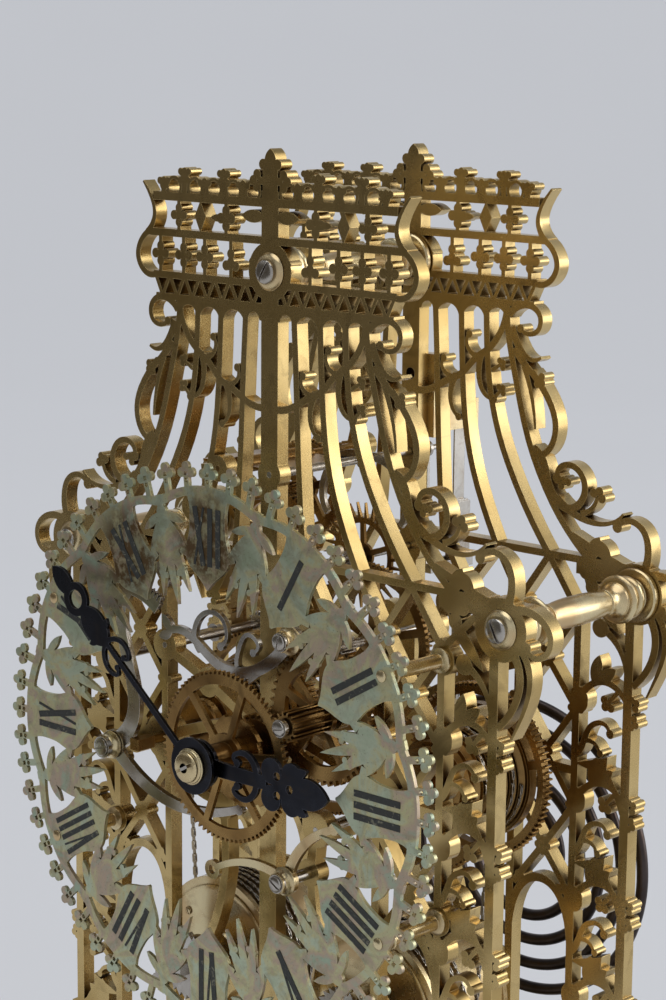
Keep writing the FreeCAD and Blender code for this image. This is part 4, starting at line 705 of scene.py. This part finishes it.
def gong_column():
    """Turned brass column with a moulded foot and a clamp that grips the gong's outer end."""
    low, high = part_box("gong_standard")
    x = (low.x + high.x) / 2 / MM
    y = (low.y + high.y) / 2 / MM - FRONT
    tall = (high.z - low.z) / MM
    profile = [(10.4, 0)] + bead(9.8, 1.1, 0.1, 2.4) + [(8.6, 2.8)] + curve_between((8.4, 3), (4.6, 9), -1.4)
    profile += bead(4.4, 0.9, 9.4, 1.8) + curve_between((3.6, 11.6), (3.2, tall - 16), 0.5)
    profile += bead(3.4, 1.0, tall - 15, 2)
    profile += [(3.6, tall - 12.4), (4.4, tall - 12), (4.4, tall - 0.6), (4, tall - 0.02)]
    mesh = bmesh.new()
    turn(mesh, profile, x, y, low.z / MM - LEVEL, "up", 40)
    slotted_head(mesh, 2.6, 1.4, 0.6, x, y + 4.1, high.z / MM - LEVEL - 6, 1, 0.4)
    finish_mesh("gong_column", mesh, "frame", "brass_bright", ["gong_standard"])


def stud_screws():
    """Slotted screw heads on the studs, over a stepped brass collar where a lever hangs."""
    collars = bmesh.new()
    profile = [(4.4, 0.1), (4.4, 0.6), (3.8, 0.9)] + curve_between((3.6, 1), (2.5, 3), -0.3)
    profile += [(3.1, 3.3), (3.1, 3.8), (2.6, 4)]
    for body, y in (("rack", -9.5), ("rack_hook", -7.3), ("lifting_piece", -9.9)):
        x, z = arbor_at(body)
        turn(collars, profile, x, y, z, "front", 40)
    finish_mesh("stud_collars", collars, "frame", "brass_bright")
    mesh = bmesh.new()
    for body, y, radius in (("minute", -22, 2.3), ("rack", -14, 2.9), ("rack_hook", -12, 2.4),
                            ("lifting_piece", -14, 2.4)):
        x, z = arbor_at(body)
        slotted_head(mesh, radius, 0.8, 0.6, x, y + 0.02, z, -1, dice.uniform(0, math.pi))
    finish_mesh("stud_screws", mesh, "frame", "polished_steel")


turned_pillars()
washers_and_screws()
turned_feet()
dial_furniture()
hand_fittings()
moulded_plinth()
collets()
barrel_caps()
fusee_chains()
turned_bob()
gong_column()
stud_screws()


# ---------------------------------------------------------------- stage, light and camera


def look_from(place, azimuth, down, roll):
    """A camera's world matrix from its place and its angles in degrees."""
    az, p, r = (math.radians(angle) for angle in (azimuth, down, roll))
    ahead = Vector((-math.sin(az) * math.cos(p), math.cos(az) * math.cos(p), -math.sin(p)))
    right = Vector((math.cos(az), math.sin(az), 0))
    up = right.cross(ahead)
    across = right * math.cos(r) + up * math.sin(r)
    upward = up * math.cos(r) - right * math.sin(r)
    turned_to = Matrix((across, upward, -ahead)).transposed().to_4x4()
    return Matrix.Translation(place) @ turned_to


def make_camera():
    """The camera, in front of the clock's right side and a little above its shoulders."""
    camera = bpy.data.objects.new("camera", bpy.data.cameras.new("camera"))
    camera.data.lens = 88.38
    camera.data.sensor_width = 36
    camera.matrix_world = look_from(Vector((0.4960, -0.53745, 0.4328)), 43.01, 10.455, 0.4865)
    bpy.context.scene.collection.objects.link(camera)
    bpy.context.scene.camera = camera


def area_light(name, place, target, width, height, power, colour=(1, 1, 1)):
    """A soft box that faces its target."""
    data = bpy.data.lights.new(name, "AREA")
    data.shape = "RECTANGLE"
    data.size = width
    data.size_y = height
    data.energy = power
    data.color = colour
    light = bpy.data.objects.new(name, data)
    light.visible_camera = False
    light.location = place
    light.rotation_euler = (Vector(target) - Vector(place)).to_track_quat("-Z", "Y").to_euler()
    bpy.context.scene.collection.objects.link(light)
    return light


def keep_off_the_stage(light):
    """Let a light that stands close to the floor reach only the clock."""
    lit = bpy.data.collections.new(light.name + "_reaches")
    for item in bpy.context.scene.objects:
        if item.type == "MESH" and item.name not in ("surround", "flag"):
            lit.objects.link(item)
    light.light_linking.receiver_collection = lit


def plain_surface(name, colour, glow):
    """A matt surface with a faint glow, for the stage."""
    shade = Shader(name)
    tone = shade.noise(0.004, 3, 0.5)
    shade.join(shade.ramp(tone, [(0.3, colour), (0.7, tuple(value * 0.96 for value in colour))]),
               shade.surface.inputs["Base Color"])
    shade.surface.inputs["Roughness"].default_value = 0.85
    shade.surface.inputs["Emission Color"].default_value = glow + (1,)
    shade.surface.inputs["Emission Strength"].default_value = 1
    return shade.material


def staged_mesh(name, points, faces, material):
    """A mesh for the stage that stands round the clock."""
    mesh = bpy.data.meshes.new(name)
    mesh.from_pydata(points, [], faces)
    mesh.materials.append(material)
    item = bpy.data.objects.new(name, mesh)
    bpy.context.scene.collection.objects.link(item)
    return item


def make_stage():
    """A pale round floor that runs up into a pale wall, and a dark card that brass fronts mirror."""
    floor_radius = 2.2
    cove = 1.2
    wall_top = 3.2
    sides = 48
    rows = [(floor_radius, 0.0)]
    for step in range(1, 25):
        angle = math.radians(90 * step / 24)
        rows.append((floor_radius + cove * math.sin(angle), cove * (1 - math.cos(angle))))
    rows.append((floor_radius + cove, wall_top))
    points = [(radius * math.cos(2 * math.pi * n / sides), radius * math.sin(2 * math.pi * n / sides), rise)
              for radius, rise in rows for n in range(sides)]
    faces = [tuple(range(sides))]
    for row in range(len(rows) - 1):
        for n in range(sides):
            after = (n + 1) % sides
            faces.append((row * sides + n, (row + 1) * sides + n, (row + 1) * sides + after,
                          row * sides + after))
    backdrop = plain_surface("backdrop", (0.22, 0.225, 0.235), (0.40, 0.41, 0.435))
    surround = staged_mesh("surround", points, faces, backdrop)
    for face in surround.data.polygons:
        face.use_smooth = True
    flag_points = [(-1.5, -0.15, 0.0), (0.1, -1.5, 0.0), (0.1, -1.5, 1.3), (-1.5, -0.15, 1.3)]
    cloth = plain_surface("flag_cloth", (0.07, 0.06, 0.05), (0.03, 0.028, 0.022))
    flag = staged_mesh("flag", flag_points, [(0, 1, 2, 3)], cloth)
    flag.visible_camera = False
    flag.visible_shadow = False
    world = bpy.data.worlds.new("world")
    bpy.context.scene.world = world
    world.use_nodes = True
    sky = world.node_tree.nodes["Background"]
    sky.inputs["Color"].default_value = (0.80, 0.83, 0.90, 1)
    sky.inputs["Strength"].default_value = 0.24


CENTRE = (cad_low + cad_high) / 2
WARM = (1, 0.98, 0.95)
COOL = (0.95, 0.97, 1)
make_camera()
make_stage()
area_light("key", (1.5, 1.0, 1.3), CENTRE, 1.2, 1.6, 17, WARM)
keep_off_the_stage(area_light("low_side", (1.5, 1.6, 0.42), CENTRE, 1.5, 0.9, 7.5, WARM))
area_light("top", (0.1, -0.2, 2.0), CENTRE, 1.6, 1.6, 12)
area_light("fill", (-1.4, -1.2, 1.5), CENTRE, 0.7, 0.7, 4, COOL)
area_light("wall_wash", (-0.6, 0.6, 2.6), (-2.0, 2.2, 0.9), 1.5, 1.0, 8)

bpy.context.scene.view_settings.view_transform = "Standard"
